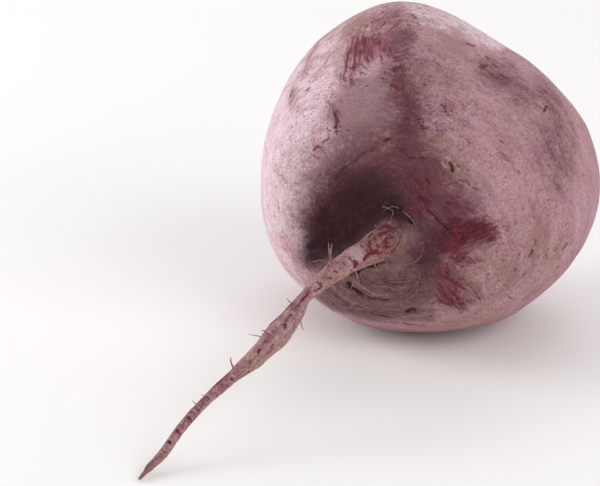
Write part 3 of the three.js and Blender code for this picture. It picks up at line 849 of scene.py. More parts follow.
# Patches on the sides that the view doesn't show, made by noise: layer, strength, size in mm, how rare,
# softness.
HIDDEN_PATCHES = [
    ("violet_and_shade", 0.6, 24, 0.15, 1.0),
    ("film", 0.5, 17, 0.35, 0.8),
    ("worn", 0.55, 8, 0.8, 0.5),
    ("tan", 0.5, 15, 0.5, 0.8),
    ("wine_and_shade", 0.5, 20, 0.75, 0.9),
    ("flecked", 0.8, 13, 0.1, 0.8),
]
HIDDEN_CLOUDS = [(1, 1, 30), (0.5, 0.4, 40)]  # height, share of the size, first seed
HIDDEN_FACING = 0.25  # where the skin faces the eye less than this, hidden patches begin
HIDDEN_FADE = 0.35

# The masks of colour, in the order in which they are stored.
LAYERS = ("worn", "rosy", "wine_and_shade", "film", "pale", "tan", "cork", "violet_and_shade", "chalk_and_highlight", "painted_shade", "mark", "fleck",
          "flecked", "thread_and_highlight", "scab")
GRAIN_RINGS = (1, 12)  # spacing along the body and size round it of the rings that the grain runs in
STROKE_SCALE = 2
STROKE_WANDER = [(0.8, 7, 50), (0.5, 2.5, 51)]  # height in mm, size in mm, seed
STROKE_SPACING = 20  # keeps the strokes of each worn place apart from the next
LEAST_WORN = 1e-6


def paint_layers(skin, on_body, on_root):
    """One mask for each layer of colour, from 0 up at every point, and the way that strokes run there."""
    masks = {layer: np.zeros(len(skin.points)) for layer in LAYERS}
    for layer, patches in PATCHES.items():
        for strength, softness, pixels in patches:
            masks[layer] = np.maximum(masks[layer], strength * on_body.patch(pixels, softness))
    for chart, layers in ((on_body, LINES), (on_root, ROOT_LINES)):
        for layer, lines in layers.items():
            for strength, width, paths in lines:
                for pixels in paths:
                    masks[layer] = np.maximum(masks[layer], strength * chart.line(pixels, width))
    strokes = scuff(skin, on_body, masks)
    hidden = smooth((HIDDEN_FACING - on_body.facing) / HIDDEN_FADE) * on_body.where
    for number, (layer, strength, size, rare, softness) in enumerate(HIDDEN_PATCHES):
        cloud = noises(skin.points, [
            (height, share * size, seed + number) for height, share, seed in HIDDEN_CLOUDS])
        reach = strength * hidden * smooth((cloud - rare) / softness + 0.5)
        masks[layer] = np.maximum(masks[layer], reach)
    return masks, strokes


def scuff(skin, on_body, masks):
    """Adds the worn places to the masks, and gives places in which each one's strokes run its own way."""
    strokes = STROKE_SCALE * ring_place(skin, *GRAIN_RINGS)[:, [1, 0, 2]]
    wander = noises(skin.points, STROKE_WANDER)
    for number, (strength, softness, rosiness, line, pixels) in enumerate(SCUFFS):
        reach = strength * on_body.patch(pixels, softness)
        here = reach >= np.maximum(masks["worn"], LEAST_WORN)
        masks["rosy"][here] = rosiness
        strokes[here, :2] = on_body.along(line)[here]
        strokes[here, 1] += wander[here]
        strokes[here, 2] = STROKE_SPACING * number
        masks["worn"] = np.maximum(masks["worn"], reach)
    return strokes


# ---- relief: heights and sizes in mm, angles in degrees ----
RELIEF_START = 6  # from the root's axis
RELIEF_FADE = 8
LUMPS = [(0.28, 13, 1), (0.12, 5.5, 2), (0.05, 2.2, 3)]  # height, size, seed
RING_WOBBLE = [(0.9, 9, 4), (0.5, 4, 7)]
RINGS = (2.3, 16, 5)  # spacing along the body, size round it, seed
FINE_RINGS = (1.1, 9, 6)
FINE_RING_SHARE = 0.45
RING_HEIGHT = 0.05
RING_HEIGHT_NEAR_ROOT = 0.12
RING_HEIGHT_LOW_LEFT = 0.22
RING_BREAKS = [(0.45, 6, 14)]
RING_EVEN = 0.55  # share of their height that the rings have where nothing breaks them
NEAR_ROOT = 14
NEAR_ROOT_SPREAD = 22
LOW_LEFT_SPREAD = 75
CREASE_RIM = 0.25  # how high a crease's lips stand, as a share of its depth
SCAB_HEIGHT = 0.28
SCAB_LUMPS = [(0.5, 1.3, 8)]
SCAB_EVEN = 0.6
MARK_DEPTH = 0.2
ROOT_RELIEF_START = 2  # along the root
ROOT_RELIEF_FADE = 6
ROOT_RING_SPACING = 1.15
ROOT_RING_TILT = 0.5
ROOT_RING_WINDING = 15
ROOT_RING_HEIGHT = 0.035
ROOT_RING_GAIN = 0.022  # more height for each mm of radius
ROOT_RING_ROUND = 0.8  # how far the noise changes round the root
ROOT_RING_SEED = 9
ROOT_LUMPS = (1.4, 3.2, 10)  # height against the rings', size, seed
RING_SHIFT = 0.3  # radians by which the rings' measure runs ahead of the polar angle
CROWN_RING_REACH = 0.5
CROWN_RING_START = 105
CROWN_RING_FADE = 35


def ring_place(skin, spacing, round_size):
    """Places in which noise runs in rings round the axis."""
    over_crown = CROWN_RING_REACH * smooth((skin.polar / RAD - CROWN_RING_START) / CROWN_RING_FADE)
    off_axis = np.maximum(np.sin(skin.polar + RING_SHIFT), over_crown)
    reach = GIRTH_RADIUS / round_size * off_axis
    return np.stack([
        skin.meridian / spacing, reach * np.cos(skin.around), reach * np.sin(skin.around)], axis=1)


def relief(skin, on_body, masks):
    """How far the skin's detail stands off the plain form."""
    polar = skin.polar / RAD
    off_root = smooth((polar - RELIEF_START) / RELIEF_FADE)
    height = off_root * noises(skin.points, LUMPS)
    height += off_root * ring_height(skin, polar) * ring_noise(skin)
    for depth, width, pixels in CREASES:
        gap = on_body.from_line(pixels)
        lips = CREASE_RIM * bell((gap - 2 * width) / width)
        height -= depth * on_body.where * (bell(gap / width) - lips)
    height += SCAB_HEIGHT * masks["scab"] * noises(skin.points, SCAB_LUMPS, SCAB_EVEN)
    height -= MARK_DEPTH * masks["mark"]
    return height + root_relief(skin)


def ring_noise(skin):
    """Rings of two sizes that run round the axis and wobble along it."""
    wobble = noises(skin.points, RING_WOBBLE)[:, None] * np.array([1, 0, 0])
    coarse, fine = (noise(ring_place(skin, spacing, size) + wobble, 1, seed)
                    for spacing, size, seed in (RINGS, FINE_RINGS))
    return coarse + FINE_RING_SHARE * fine


def ring_height(skin, polar):
    """The rings are highest near the root and at the lower left, and they fade in places."""
    low_left = bell(wrap(skin.around - FOLD_AROUND * RAD) / (LOW_LEFT_SPREAD * RAD))
    near_root = bell((polar - NEAR_ROOT) / NEAR_ROOT_SPREAD)
    broken = noises(skin.points, RING_BREAKS, RING_EVEN)
    return broken * (RING_HEIGHT + near_root * (RING_HEIGHT_NEAR_ROOT + RING_HEIGHT_LOW_LEFT * low_left))


def root_relief(skin):
    """Rings that cross the tap root, closer and sharper towards its tip, over low lumps."""
    on_root = smooth((skin.rootward - ROOT_RELIEF_START) / ROOT_RELIEF_FADE)
    size = root_radius(np.maximum(skin.rootward, COLLAR_RISE))
    tilt = ROOT_RING_TILT * size * np.cos(skin.around - skin.rootward / ROOT_RING_WINDING)
    ring = np.stack([
        (skin.rootward + tilt) / ROOT_RING_SPACING,
        ROOT_RING_ROUND * np.cos(skin.around),
        ROOT_RING_ROUND * np.sin(skin.around)], axis=1)
    rise = on_root * (ROOT_RING_HEIGHT + ROOT_RING_GAIN * size)
    return rise * noises(skin.points, [ROOT_LUMPS], noise(ring, 1, ROOT_RING_SEED))


LENTICELS = 230
LENTICEL_DEPTH = 0.16
LENTICEL_LENGTH = (0.5, 1.3)
LENTICEL_WIDTH = (0.28, 0.5)
LENTICEL_STRENGTH = (0.35, 1)
LENTICEL_TILT = 0.3
LENTICEL_REACH = 3
LENTICEL_START = 25  # degrees from the root's axis


def lenticels(skin, random):
    """Small breathing pores, short dashes that lie round the body, as a mask."""
    mask = np.zeros(len(skin.points))
    places = np.flatnonzero(skin.polar > LENTICEL_START * RAD)
    area = np.sin(skin.polar[places])
    for centre in random.choice(places, LENTICELS, replace=False, p=area / area.sum()):
        length = random.uniform(*LENTICEL_LENGTH)
        width = random.uniform(*LENTICEL_WIDTH)
        strength = random.uniform(*LENTICEL_STRENGTH)
        across = np.cross(skin.normals[centre], ALONG)
        across /= np.linalg.norm(across)
        across_tilted = across + ALONG * random.uniform(-LENTICEL_TILT, LENTICEL_TILT)
        down = np.cross(skin.normals[centre], across_tilted)
        near = np.flatnonzero(np.abs(skin.points - skin.points[centre]).max(axis=1) < LENTICEL_REACH)
        offset = skin.points[near] - skin.points[centre]
        gap = np.hypot(offset @ across_tilted / length, offset @ down / width)
        mask[near] = np.maximum(mask[near], strength * bell(gap))
    return mask


# ---- meshes ----
def make_piece(name, points, faces, material):
    """A smooth-shaded piece that rides on the beet and stands for its solid."""
    mesh = bpy.data.meshes.new(name)
    mesh.from_pydata((np.asarray(points) * MM).tolist(), [], faces)
    mesh.shade_smooth()
    mesh.materials.append(material)
    piece = bpy.data.objects.new(name, mesh)
    bpy.context.collection.objects.link(piece)
    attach(piece, "root")
    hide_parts(NODE)
    return piece


def store(piece, name, values):
    """Keeps a number or a vector for each point, which the material reads."""
    values = np.asarray(values, np.float32)
    kind, field = ("FLOAT", "value") if values.ndim == 1 else ("FLOAT_VECTOR", "vector")
    piece.data.attributes.new(name, kind, "POINT").data.foreach_set(field, values.ravel())


def gather(parts):
    """Joins parts, each of points and faces, into one list of points and one of faces."""
    points, faces, count = [], [], 0
    for places, joined in parts:
        points.append(places)
        faces += [[count + corner for corner in face] for face in joined]
        count += len(places)
    return np.vstack(points), faces


# The flank turned to the light: a pale bloom there, partly a painted highlight.
FLANK_BLOOM_AND_HIGHLIGHT = (64, 38, -80, 56)  # degrees: polar and its spread, around and its spread
CROWN_EDGE = 141  # polar angle at which the crown's colour begins
CROWN_EDGE_WAVES = [(9, 8, 20), (5, 3, 21)]  # degrees, size in mm, seed
CROWN_FADE = 20


def make_skin(material):
    """Makes the skin. The charts are handed on, as the rootlets need them too."""
    skin = Skin()
    on_body = Chart(skin, skin.rootward <= COLLAR_RISE)
    on_root = Chart(skin, skin.rootward > 0)
    random = np.random.default_rng(SEED)
    masks, strokes = paint_layers(skin, on_body, on_root)
    polar = skin.polar / RAD
    # Pale bloom on the lit flank, partly a painted highlight.
    at_polar, polar_spread, at_around, around_spread = FLANK_BLOOM_AND_HIGHLIGHT
    lit_flank_along = bell((polar - at_polar) / polar_spread)
    lit_flank_round = bell(wrap(skin.around - at_around * RAD) / (around_spread * RAD))
    masks["pale"] = np.maximum(masks["pale"], lit_flank_along * lit_flank_round)
    masks["pore"] = lenticels(skin, random)
    height = relief(skin, on_body, masks) - LENTICEL_DEPTH * masks["pore"]
    points = skin.points + height[:, None] * skin.normals
    points[:, 2] = np.maximum(points[:, 2], 0)
    piece = make_piece("beetroot_skin", points, skin.faces, material)
    for layer, mask in masks.items():
        store(piece, layer, mask)
    store(piece, "rootward", skin.rootward)
    store(piece, "skyward", skin.normals[:, 2])
    crown_edge = noises(skin.points, CROWN_EDGE_WAVES, CROWN_EDGE)
    store(piece, "crown", smooth((polar - crown_edge) / CROWN_FADE))
    store(piece, "rings", ring_place(skin, *GRAIN_RINGS))
    store(piece, "strokes", strokes)
    return on_body, on_root


# ---- materials ----
def paint(red, green, blue):
    """A colour given in the usual 0 to 255, as the shader wants it: the standard curve for screens."""
    share = (c / 255 for c in (red, green, blue))
    return tuple(c / 12.92 if c <= 0.04045 else ((c + 0.055) / 1.055) ** 2.4 for c in share) + (1.0,)


SOFT_EDGE = (0.0, 1.0)
FIRM_EDGE = (0.2, 0.8)
MARK_EDGE = (0.15, 0.75)
COVER_START = 0.3  # from this mask up, a cover may show in full


class Shader:
    """A material made by short calls, each of which returns a socket or takes one."""

    def __init__(self, name):
        self.material = bpy.data.materials.new(name)
        self.material.use_nodes = True
        self.tree = self.material.node_tree
        self.tree.nodes.clear()
        self.surface = self.tree.nodes.new("ShaderNodeBsdfPrincipled")
        output = self.tree.nodes.new("ShaderNodeOutputMaterial")
        self.tree.links.new(self.surface.outputs["BSDF"], output.inputs["Surface"])

    def node(self, kind, inputs, **settings):
        node = self.tree.nodes.new(kind)
        for name, value in settings.items():
            setattr(node, name, value)
        for key, value in inputs.items():
            if isinstance(value, bpy.types.NodeSocket):
                self.tree.links.new(value, node.inputs[key])
            else:
                node.inputs[key].default_value = value
        return node

    def set(self, **inputs):
        for name, value in inputs.items():
            socket = self.surface.inputs[name.replace("_", " ")]
            if isinstance(value, bpy.types.NodeSocket):
                self.tree.links.new(value, socket)
            else:
                socket.default_value = value

    def mask(self, name):
        return self.node("ShaderNodeAttribute", {}, attribute_name=name).outputs["Fac"]

    def vector(self, name):
        return self.node("ShaderNodeAttribute", {}, attribute_name=name).outputs["Vector"]

    def place(self):
        """Where a point is on the object, in millimetres."""
        coordinates = self.node("ShaderNodeTexCoord", {}).outputs["Object"]
        return self.stretch(coordinates, (1 / MM,) * 3)

    def stretch(self, vector, scale):
        return self.node("ShaderNodeVectorMath", {0: vector, 1: scale}, operation="MULTIPLY").outputs[0]

    def shift(self, vector, offset):
        return self.node("ShaderNodeVectorMath", {0: vector, 1: offset}, operation="ADD").outputs[0]

    def noise(self, vector, size, detail=3.0, roughness=0.55, distortion=0.0):
        """Noise from 0 to 1 with features about `size` across."""
        return self.node("ShaderNodeTexNoise", {
            "Vector": vector, "Scale": 1 / size, "Detail": detail, "Roughness": roughness,
            "Distortion": distortion}).outputs["Fac"]

    def math(self, operation, a, b):
        return self.node("ShaderNodeMath", {0: a, 1: b}, operation=operation).outputs[0]

    def add(self, *values):
        """The sum of these values. A pair is a value and its weight."""
        weighted = [self.times(*value) if isinstance(value, tuple) else value for value in values]
        total = weighted[0]
        for value in weighted[1:]:
            total = self.math("ADD", total, value)
        return total

    def times(self, a, b):
        return self.math("MULTIPLY", a, b)

    def step(self, value, low, high, to_low=0.0, to_high=1.0):
        """A soft step from one level to another between two values."""
        return self.node("ShaderNodeMapRange", {
            "Value": value, "From Min": low, "From Max": high, "To Min": to_low, "To Max": to_high,
        }, interpolation_type="SMOOTHSTEP").outputs[0]

    def mix(self, share, a, b, blend="MIX"):
        node = self.node("ShaderNodeMix", {0: share, 6: a, 7: b}, data_type="RGBA", blend_type=blend)
        return node.outputs[2]

    def tones(self, value, low, high, *colours):
        """The first colour where the value is low and the second where it is high."""
        return self.mix(self.step(value, low, high), *(paint(*colour) for colour in colours))

    def stain(self, colour, share, stain):
        """Mixes a plain colour into this one."""
        return self.mix(share, colour, paint(*stain))

    def cover(self, colour, mask, top, ragged, most=1.0, edge=FIRM_EDGE):
        """Lays another colour over this one where the mask says, with an edge broken up by noise."""
        share = self.step(self.add(self.mask(mask), ragged), *edge)
        inside = self.step(self.mask(mask), 0, COVER_START, 0, most)
        return self.mix(self.times(share, inside), colour, top)

    def bump(self, height, distance, strength):
        inputs = {"Height": height, "Distance": distance * MM, "Strength": strength}
        return self.node("ShaderNodeBump", inputs).outputs["Normal"]


def skin_material():
    s = Shader("beet_skin")
    place = s.place()
    rings = s.vector("rings")
    strokes = s.vector("strokes")
    broad = s.noise(place, 14, 3)
    middle = s.noise(s.shift(place, (31, 7, 12)), 5, 5, 0.65, 0.6)
    patchy = s.noise(s.shift(place, (3, 47, 22)), 1.8, 4, 0.7, 0.4)
    fine = s.noise(place, 0.75, 3, 0.75)
    grain = s.noise(s.shift(place, (9, 2, 5)), 0.42, 2, 0.7)
    blotch = s.noise(s.stretch(rings, (0.42, 1.5, 1.5)), 1, 5, 0.68, 0.7)
    tone = s.noise(s.stretch(s.shift(rings, (40, 3, 9)), (0.15, 0.7, 0.7)), 1, 5, 0.62, 0.8)
    fibre = s.noise(s.stretch(rings, (1.4, 1.4, 1.4)), 1, 3, 0.65, 1.4)
    hair = s.noise(s.stretch(s.shift(rings, (7, 9, 1)), (1.9, 2.6, 2.6)), 1, 3, 0.65, 1.2)
    stroke = s.noise(s.stretch(strokes, (0.28, 1.4, 1)), 1, 3, 0.6, 0.5)
    brush = s.noise(s.stretch(strokes, (0.17, 0.75, 1)), 1, 3, 0.6, 0.6)
    mottle = s.add(middle, patchy, (fine, 0.7), -1.35)
    stipple = s.add((patchy, 0.8), (fine, 1.3), (grain, 0.9), -1.5)
    ragged = s.add((mottle, 0.5), stipple)
    streaky = s.add((blotch, 2.2), (hair, 0.6), stipple, -1.4)
    clouded = s.add((tone, 2.4), streaky, -1.2)
    loose = s.times(s.add(fine, grain, -1.0), 0.8)

    # The dusty film over the skin: rosy, browner or greyer from place to place, and thinner in streaks.
    colour = s.tones(broad, 0.4, 0.6, (181, 140, 150), (179, 139, 141))
    colour = s.stain(colour, s.step(clouded, -0.1, 1.0, 0, 0.7), (132, 84, 95))
    colour = s.stain(colour, s.step(clouded, -0.1, -0.9, 0, 0.6), (196, 160, 162))
    thinned = s.step(s.add(clouded, stipple), -0.8, 0.9, 0.35, 1.15)
    # Darker violet skin, painted shade in places.
    colour = s.stain(colour, s.times(s.mask("violet_and_shade"), thinned), (108, 67, 76))

    # The pale bloom on the side turned to the light, partly a painted highlight, with magenta skin between
    # its blotches.
    under_bloom = s.tones(mottle, -0.15, 0.3, (188, 134, 148), (158, 88, 108))
    colour = s.mix(s.step(s.add(s.mask("pale"), (streaky, 0.3)), 0.1, 0.7), colour, under_bloom)
    bloom_and_highlight = s.tones(s.add(hair, (fine, 0.5)), 0.5, 1.0, (210, 180, 188), (238, 216, 222))
    blotchy = s.add((streaky, 0.75), (middle, 1.8), (tone, 0.8), -1.2)
    colour = s.cover(colour, "pale", bloom_and_highlight, blotchy, 1, (0.0, 0.9))

    # Grey film in broken sheets, and the wine-dark furrow and hollow, darkened further as painted shade.
    grey = s.tones(s.add(fine, patchy, (hair, 0.4)), 0.9, 1.5, (126, 91, 97), (168, 138, 142))
    colour = s.cover(colour, "film", grey, s.add((streaky, 0.6), (ragged, 0.5)), 0.92, SOFT_EDGE)
    # Chalky film, a painted highlight on the top rim.
    chalk_and_highlight = s.tones(s.add(fine, patchy), 0.75, 1.25, (170, 136, 138), (206, 182, 184))
    colour = s.cover(colour, "chalk_and_highlight", chalk_and_highlight, ragged, 0.9, SOFT_EDGE)
    wine_and_shade = s.tones(s.add(patchy, (hair, 0.8), (fine, 0.5)), 0.8, 1.55, (72, 32, 40), (118, 76, 83))
    colour = s.cover(colour, "wine_and_shade", wine_and_shade, s.add((streaky, 0.3), (ragged, 0.3)), 1, SOFT_EDGE)

    # Bare crimson skin, in strokes.
    worn_tone = s.add((brush, 0.7), (stroke, 0.7), (fine, 0.6), (patchy, 0.4))
    crimson = s.tones(worn_tone, 0.95, 1.5, (56, 8, 20), (116, 42, 58))
    rosy = s.tones(worn_tone, 0.95, 1.5, (84, 22, 38), (168, 102, 118))
    torn = s.add((brush, -1.1), (stroke, -1.1), (patchy, -1.0), (stipple, 0.6), 1.6)
    colour = s.cover(colour, "worn", s.mix(s.mask("rosy"), crimson, rosy), torn, 0.95, SOFT_EDGE)

    # Corky places: tan ones, fibrous grey-brown ones round the root, the crown, and scabs.
    tan = s.tones(s.add(patchy, hair, (fine, 0.6)), 0.95, 1.6, (116, 82, 74), (174, 140, 126))
    colour = s.cover(colour, "tan", tan, s.add((clouded, 0.5), ragged), 0.75, SOFT_EDGE)
    cork_tone = s.add((hair, 0.7), patchy, (fine, 0.6), (fibre, 0.4))
    cork = s.tones(cork_tone, 1.0, 1.75, (70, 43, 48), (132, 103, 104))
    colour = s.cover(colour, "cork", cork, s.times(clouded, 0.5), 0.92, SOFT_EDGE)
    crown = s.tones(s.add(hair, patchy, (fine, 0.6)), 0.95, 1.6, (92, 58, 58), (152, 120, 110))
    colour = s.cover(colour, "crown", crown, s.add(ragged, (streaky, 0.6)), 0.9, SOFT_EDGE)
    # Painted shade in the hollow, the crevices round the root and right of the root, a little lighter where
    # fibre and patchy noise run high.
    depth = s.step(s.add(fibre, patchy), 0.7, 1.3, 1.0, 0.8)
    shade_share = s.step(s.add(s.mask("painted_shade"), (ragged, 0.3)), 0, 0.95)
    colour = s.stain(colour, s.times(shade_share, depth), (44, 18, 24))
    scab = s.tones(s.add(fine, (grain, 0.6)), 0.68, 0.92, (76, 46, 44), (164, 136, 112))
    colour = s.cover(colour, "scab", scab, s.add((s.add(fine, -0.5), 2.6), -0.25), 0.8)

    # Specks everywhere, fainter in the painted shade, flecks where they crowd, then marks, pores, the root
    # and pale threads, which include a painted highlight along the root's upper edge.
    lit = s.step(s.mask("painted_shade"), 0.7, 0.1, 0.2, 1)
    colour = s.stain(colour, s.times(s.step(stipple, 0.04, 0.34, 0, 0.55), lit), (120, 54, 70))
    crowded = s.times(s.step(stipple, -0.05, 0.25), s.mask("flecked"))
    colour = s.stain(colour, s.times(crowded, 0.5), (98, 32, 48))
    dash = s.noise(s.stretch(s.shift(rings, (70, 5, 5)), (1.1, 6, 6)), 1, 2, 0.6)
    dashes = s.step(s.add(dash, (s.mask("flecked"), 0.08), (patchy, 0.15)), 0.72, 0.84, 0, 0.75)
    colour = s.stain(colour, dashes, (112, 40, 58))
    colour = s.cover(colour, "fleck", paint(106, 34, 52), loose, 0.9, MARK_EDGE)
    colour = s.cover(colour, "mark", paint(72, 22, 36), loose, 0.85, MARK_EDGE)
    colour = s.cover(colour, "pore", paint(108, 46, 60), loose, 0.75, MARK_EDGE)
    on_root = s.step(s.mask("rootward"), 2.0, 4.2)
    colour = s.mix(on_root, colour, root_colour(s, place, fine, grain, rings, loose))
    colour = s.cover(colour, "thread_and_highlight", paint(176, 146, 140), s.times(loose, 0.6), 0.7)
    speckle = s.step(grain, 0.25, 0.75, 0.7, 1.3)
    shade = s.node("ShaderNodeCombineColor", {"Red": speckle, "Green": speckle, "Blue": speckle}).outputs[0]
    colour = s.mix(1.0, colour, shade, "MULTIPLY")

    micro = s.bump(s.add((fine, 0.8), (grain, 0.5), (fibre, 0.4)), 0.16, 0.9)
    s.set(Base_Color=colour, Roughness=0.7, Normal=micro)
    s.set(Specular_IOR_Level=0.2, Sheen_Weight=0.05, Sheen_Roughness=0.45, Sheen_Tint=paint(255, 232, 236))
    return s.material


def root_colour(s, place, fine, grain, rings, loose):
    """The tap root: mauve above and tan below, worn to crimson here and there, and brown at the tip."""
    along = s.mask("rootward")
    band = s.noise(s.stretch(rings, (0.5, 0.6, 0.6)), 1, 4, 0.65, 0.5)
    streak = s.noise(s.stretch(rings, (0.14, 2.2, 2.2)), 1, 4, 0.65, 0.3)
    blotch = s.noise(s.shift(place, (5, 5, 60)), 2.2, 4, 0.65, 0.4)
    pitted = s.add((blotch, 0.5), (fine, 0.8), (grain, 0.5), -0.9)
    colour = s.tones(s.add(s.mask("skyward"), (blotch, 0.8)), 0.2, 0.9, (158, 122, 113), (154, 110, 116))
    colour = s.stain(colour, s.step(s.add(blotch, (streak, 0.5)), 0.64, 0.9, 0, 0.85), (192, 158, 152))
    colour = s.stain(colour, s.step(s.add(streak, (fine, 0.4)), 0.62, 0.85, 0, 0.65), (106, 58, 72))
    colour = s.stain(colour, s.step(pitted, 0.08, 0.25, 0, 0.65), (90, 48, 54))
    near_body = s.step(along, 20, 4, 0, 0.1)
    far_out = s.step(along, 46, 62, 0, 0.09)
    worn = s.add((band, 0.6), (blotch, 0.5), (fine, 0.35), near_body, far_out)
    colour = s.stain(colour, s.step(worn, 0.8, 0.96, 0, 0.8), (110, 44, 58))

    # The root's first centimetre is cream, with dark spots, and a smooth grey band ends it.
    cap = s.step(along, 13, 8)
    cream = s.tones(s.add(fine, blotch), 0.85, 1.2, (96, 60, 58), (148, 108, 102))
    spots = s.noise(s.shift(place, (17, 3, 29)), 1.2, 3, 0.6, 0.5)
    colour = s.mix(s.times(cap, 0.7), colour, cream)
    colour = s.stain(colour, s.times(cap, s.step(spots, 0.47, 0.62, 0, 0.85)), (88, 26, 42))
    smooth_band = s.step(s.add(s.mask("film"), blotch, (fine, 0.8)), 1.0, 1.9, 0, 0.9)
    colour = s.stain(colour, smooth_band, (168, 144, 148))

    colour = s.cover(colour, "fleck", paint(100, 28, 46), loose, 1, MARK_EDGE)
    colour = s.cover(colour, "mark", paint(66, 24, 34), loose, 0.85, MARK_EDGE)
    return s.stain(colour, s.step(along, 84, 91, 0, 0.5), (108, 80, 74))


def stalk_material():
    """A cut leaf stalk: dry tan faces with rings of wine-red vessels, and ribbed sides."""
    s = Shader("beet_stalk")
    place = s.place()
    fine = s.noise(place, 0.7, 4, 0.65)
    grain = s.noise(place, 0.3, 2, 0.6)
    cell = s.node("ShaderNodeTexVoronoi", {"Vector": s.vector("section"), "Scale": 0.8}, feature="F1")
    vessels = s.step(s.add(cell.outputs["Distance"], (s.add(fine, -0.5), 0.4)), 0.42, 0.22)
    cut = s.tones(fine, 0.35, 0.7, (168, 132, 116), (128, 90, 82))
    cut = s.stain(cut, s.times(vessels, 0.8), (104, 40, 52))
    cut = s.stain(cut, s.step(s.add(s.mask("rim"), (fine, 0.3)), 0.8, 1.05), (92, 40, 50))
    side = s.tones(s.add(fine, (grain, 0.3)), 0.45, 0.8, (104, 48, 56), (146, 108, 98))
    relief_height = s.add(fine, (vessels, -0.6))
    s.set(Base_Color=s.mix(s.mask("cut"), side, cut), Roughness=0.75, Normal=s.bump(relief_height, 0.25, 0.9))
    s.set(Specular_IOR_Level=0.3, Sheen_Weight=0.1)
    return s.material


def rootlet_material():
    s = Shader("beet_rootlet")
    fine = s.noise(s.place(), 0.9, 3, 0.6)
    s.set(Base_Color=s.tones(fine, 0.35, 0.65, (158, 122, 115), (112, 74, 74)), Roughness=0.8)
    s.set(Specular_IOR_Level=0.25, Sheen_Weight=0.1)
    return s.material


def floor_material():
    s = Shader("pale_floor")
    colour = s.mix(s.noise(s.place(), 220, 2), paint(246, 245, 244), paint(250, 249, 248))
    s.set(Base_Color=colour, Roughness=0.9, Specular_IOR_Level=0.1)
    return s.material


# ---- camera, light and floor ----
def make_camera():
    right, up, back = view_axes()
    data = bpy.data.cameras.new("view")
    data.sensor_fit = "HORIZONTAL"
    data.sensor_width = SENSOR_WIDTH
    data.lens = FOCAL_PIXELS * SENSOR_WIDTH / VIEW_WIDTH
    data.clip_start = CLIP_START
    camera = bpy.data.objects.new("view", data)
    bpy.context.collection.objects.link(camera)
    turned = Matrix([right, up, back]).transposed().to_4x4()
    camera.matrix_world = Matrix.Translation(Vector(view_place()) * MM) @ turned
    bpy.context.scene.camera = camera


# Name, azimuth and elevation in degrees, distance and size in metres, power in watts, and colour.
LIGHTS = [
    ("key", -85, 20, 0.9, 0.5, 4.5, (1, 0.99, 0.98)),
    ("fill", 60, 30, 1.0, 0.7, 4.2, (1, 0.99, 0.98)),
    ("back", 180, 50, 1.0, 0.9, 2.8, (1, 1, 1)),
]
WORLD_STRENGTH = 0.5
FLOOR_HALF = 3.0  # metres
FLOOR_DROP = 0.0002  # metres, so that the floor and the flat spot don't share a plane


def make_light(name, azimuth, elevation, distance, size, power, colour):
    """A soft square light, aimed at the middle of the body. Azimuth 0 is in front, 90 at the right."""
    data = bpy.data.lights.new(name, "AREA")
    data.shape = "SQUARE"
    data.size = size
    data.energy = power
    data.color = colour
    light = bpy.data.objects.new(name, data)
    bpy.context.collection.objects.link(light)
    away = Vector(heading(azimuth * RAD, elevation * RAD))
    light.location = Vector(CENTRE) * MM + away * distance
    light.rotation_euler = away.to_track_quat("Z", "Y").to_euler()


def make_world():
    world = bpy.data.worlds.new("studio")
    world.use_nodes = True
    background = world.node_tree.nodes["Background"]
    background.inputs["Color"].default_value = (1, 1, 1, 1)
    background.inputs["Strength"].default_value = WORLD_STRENGTH
    bpy.context.scene.world = world


def make_floor():
    mesh = bpy.data.meshes.new("floor")
    corners = [(x * FLOOR_HALF, y * FLOOR_HALF, -FLOOR_DROP) for x, y in ((-1, -1), (1, -1), (1, 1), (-1, 1))]
    mesh.from_pydata(corners, [], [(0, 1, 2, 3)])
    mesh.materials.append(floor_material())
    floor = bpy.data.objects.new("floor", mesh)
    bpy.context.collection.objects.link(floor)
    floor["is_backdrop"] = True


def make_studio():
    make_camera()
    make_world()
    for light in LIGHTS:
        make_light(*light)
    make_floor()
    bpy.context.scene.view_settings.view_transform = "Standard"


# ---- cut leaf stalks ----
STALK_SIDES = 28
STALK_RINGS = 9
STALK_SUNK = 2.6
STALK_FOOT = 0.55  # half the width, as a share of the stalk's: at the foot
STALK_TAPER = 0.08  # lost from there to the tip
STALK_FLARE = 0.05  # added at the very foot
STALK_RIM = 0.47  # at the rim of the cut face
STALK_RIBS = [(0.05, 7, 1), (0.03, 13, 2)]  # share, count, turn from stalk to stalk
STALK_HOLLOW = 0.45  # the inner face is hollow, as a leaf stalk's is
STALK_SLANT = 0.08
CUT_RINGS = 4
CUT_STEP = 0.04
CUT_RISE = 0.08
CUT_DISH = 0.35  # the cut face has dried hollow
CUT_DISH_SLOPE = 1.5
SECTION_STEP = 10.0  # keeps the pattern in each cut face apart from the next


def between(ends, share):
    return ends[0] + (ends[1] - ends[0]) * share


def tube_faces(rings, sides):
    """The faces of a closed tube of rings, with both its ends."""
    faces = [list(range(sides - 1, -1, -1))]
    for ring in range(rings - 1):
        faces += band(ring * sides, sides, (ring + 1) * sides, sides)
    last = (rings - 1) * sides
    faces.append(list(range(last, last + sides)))
    return faces


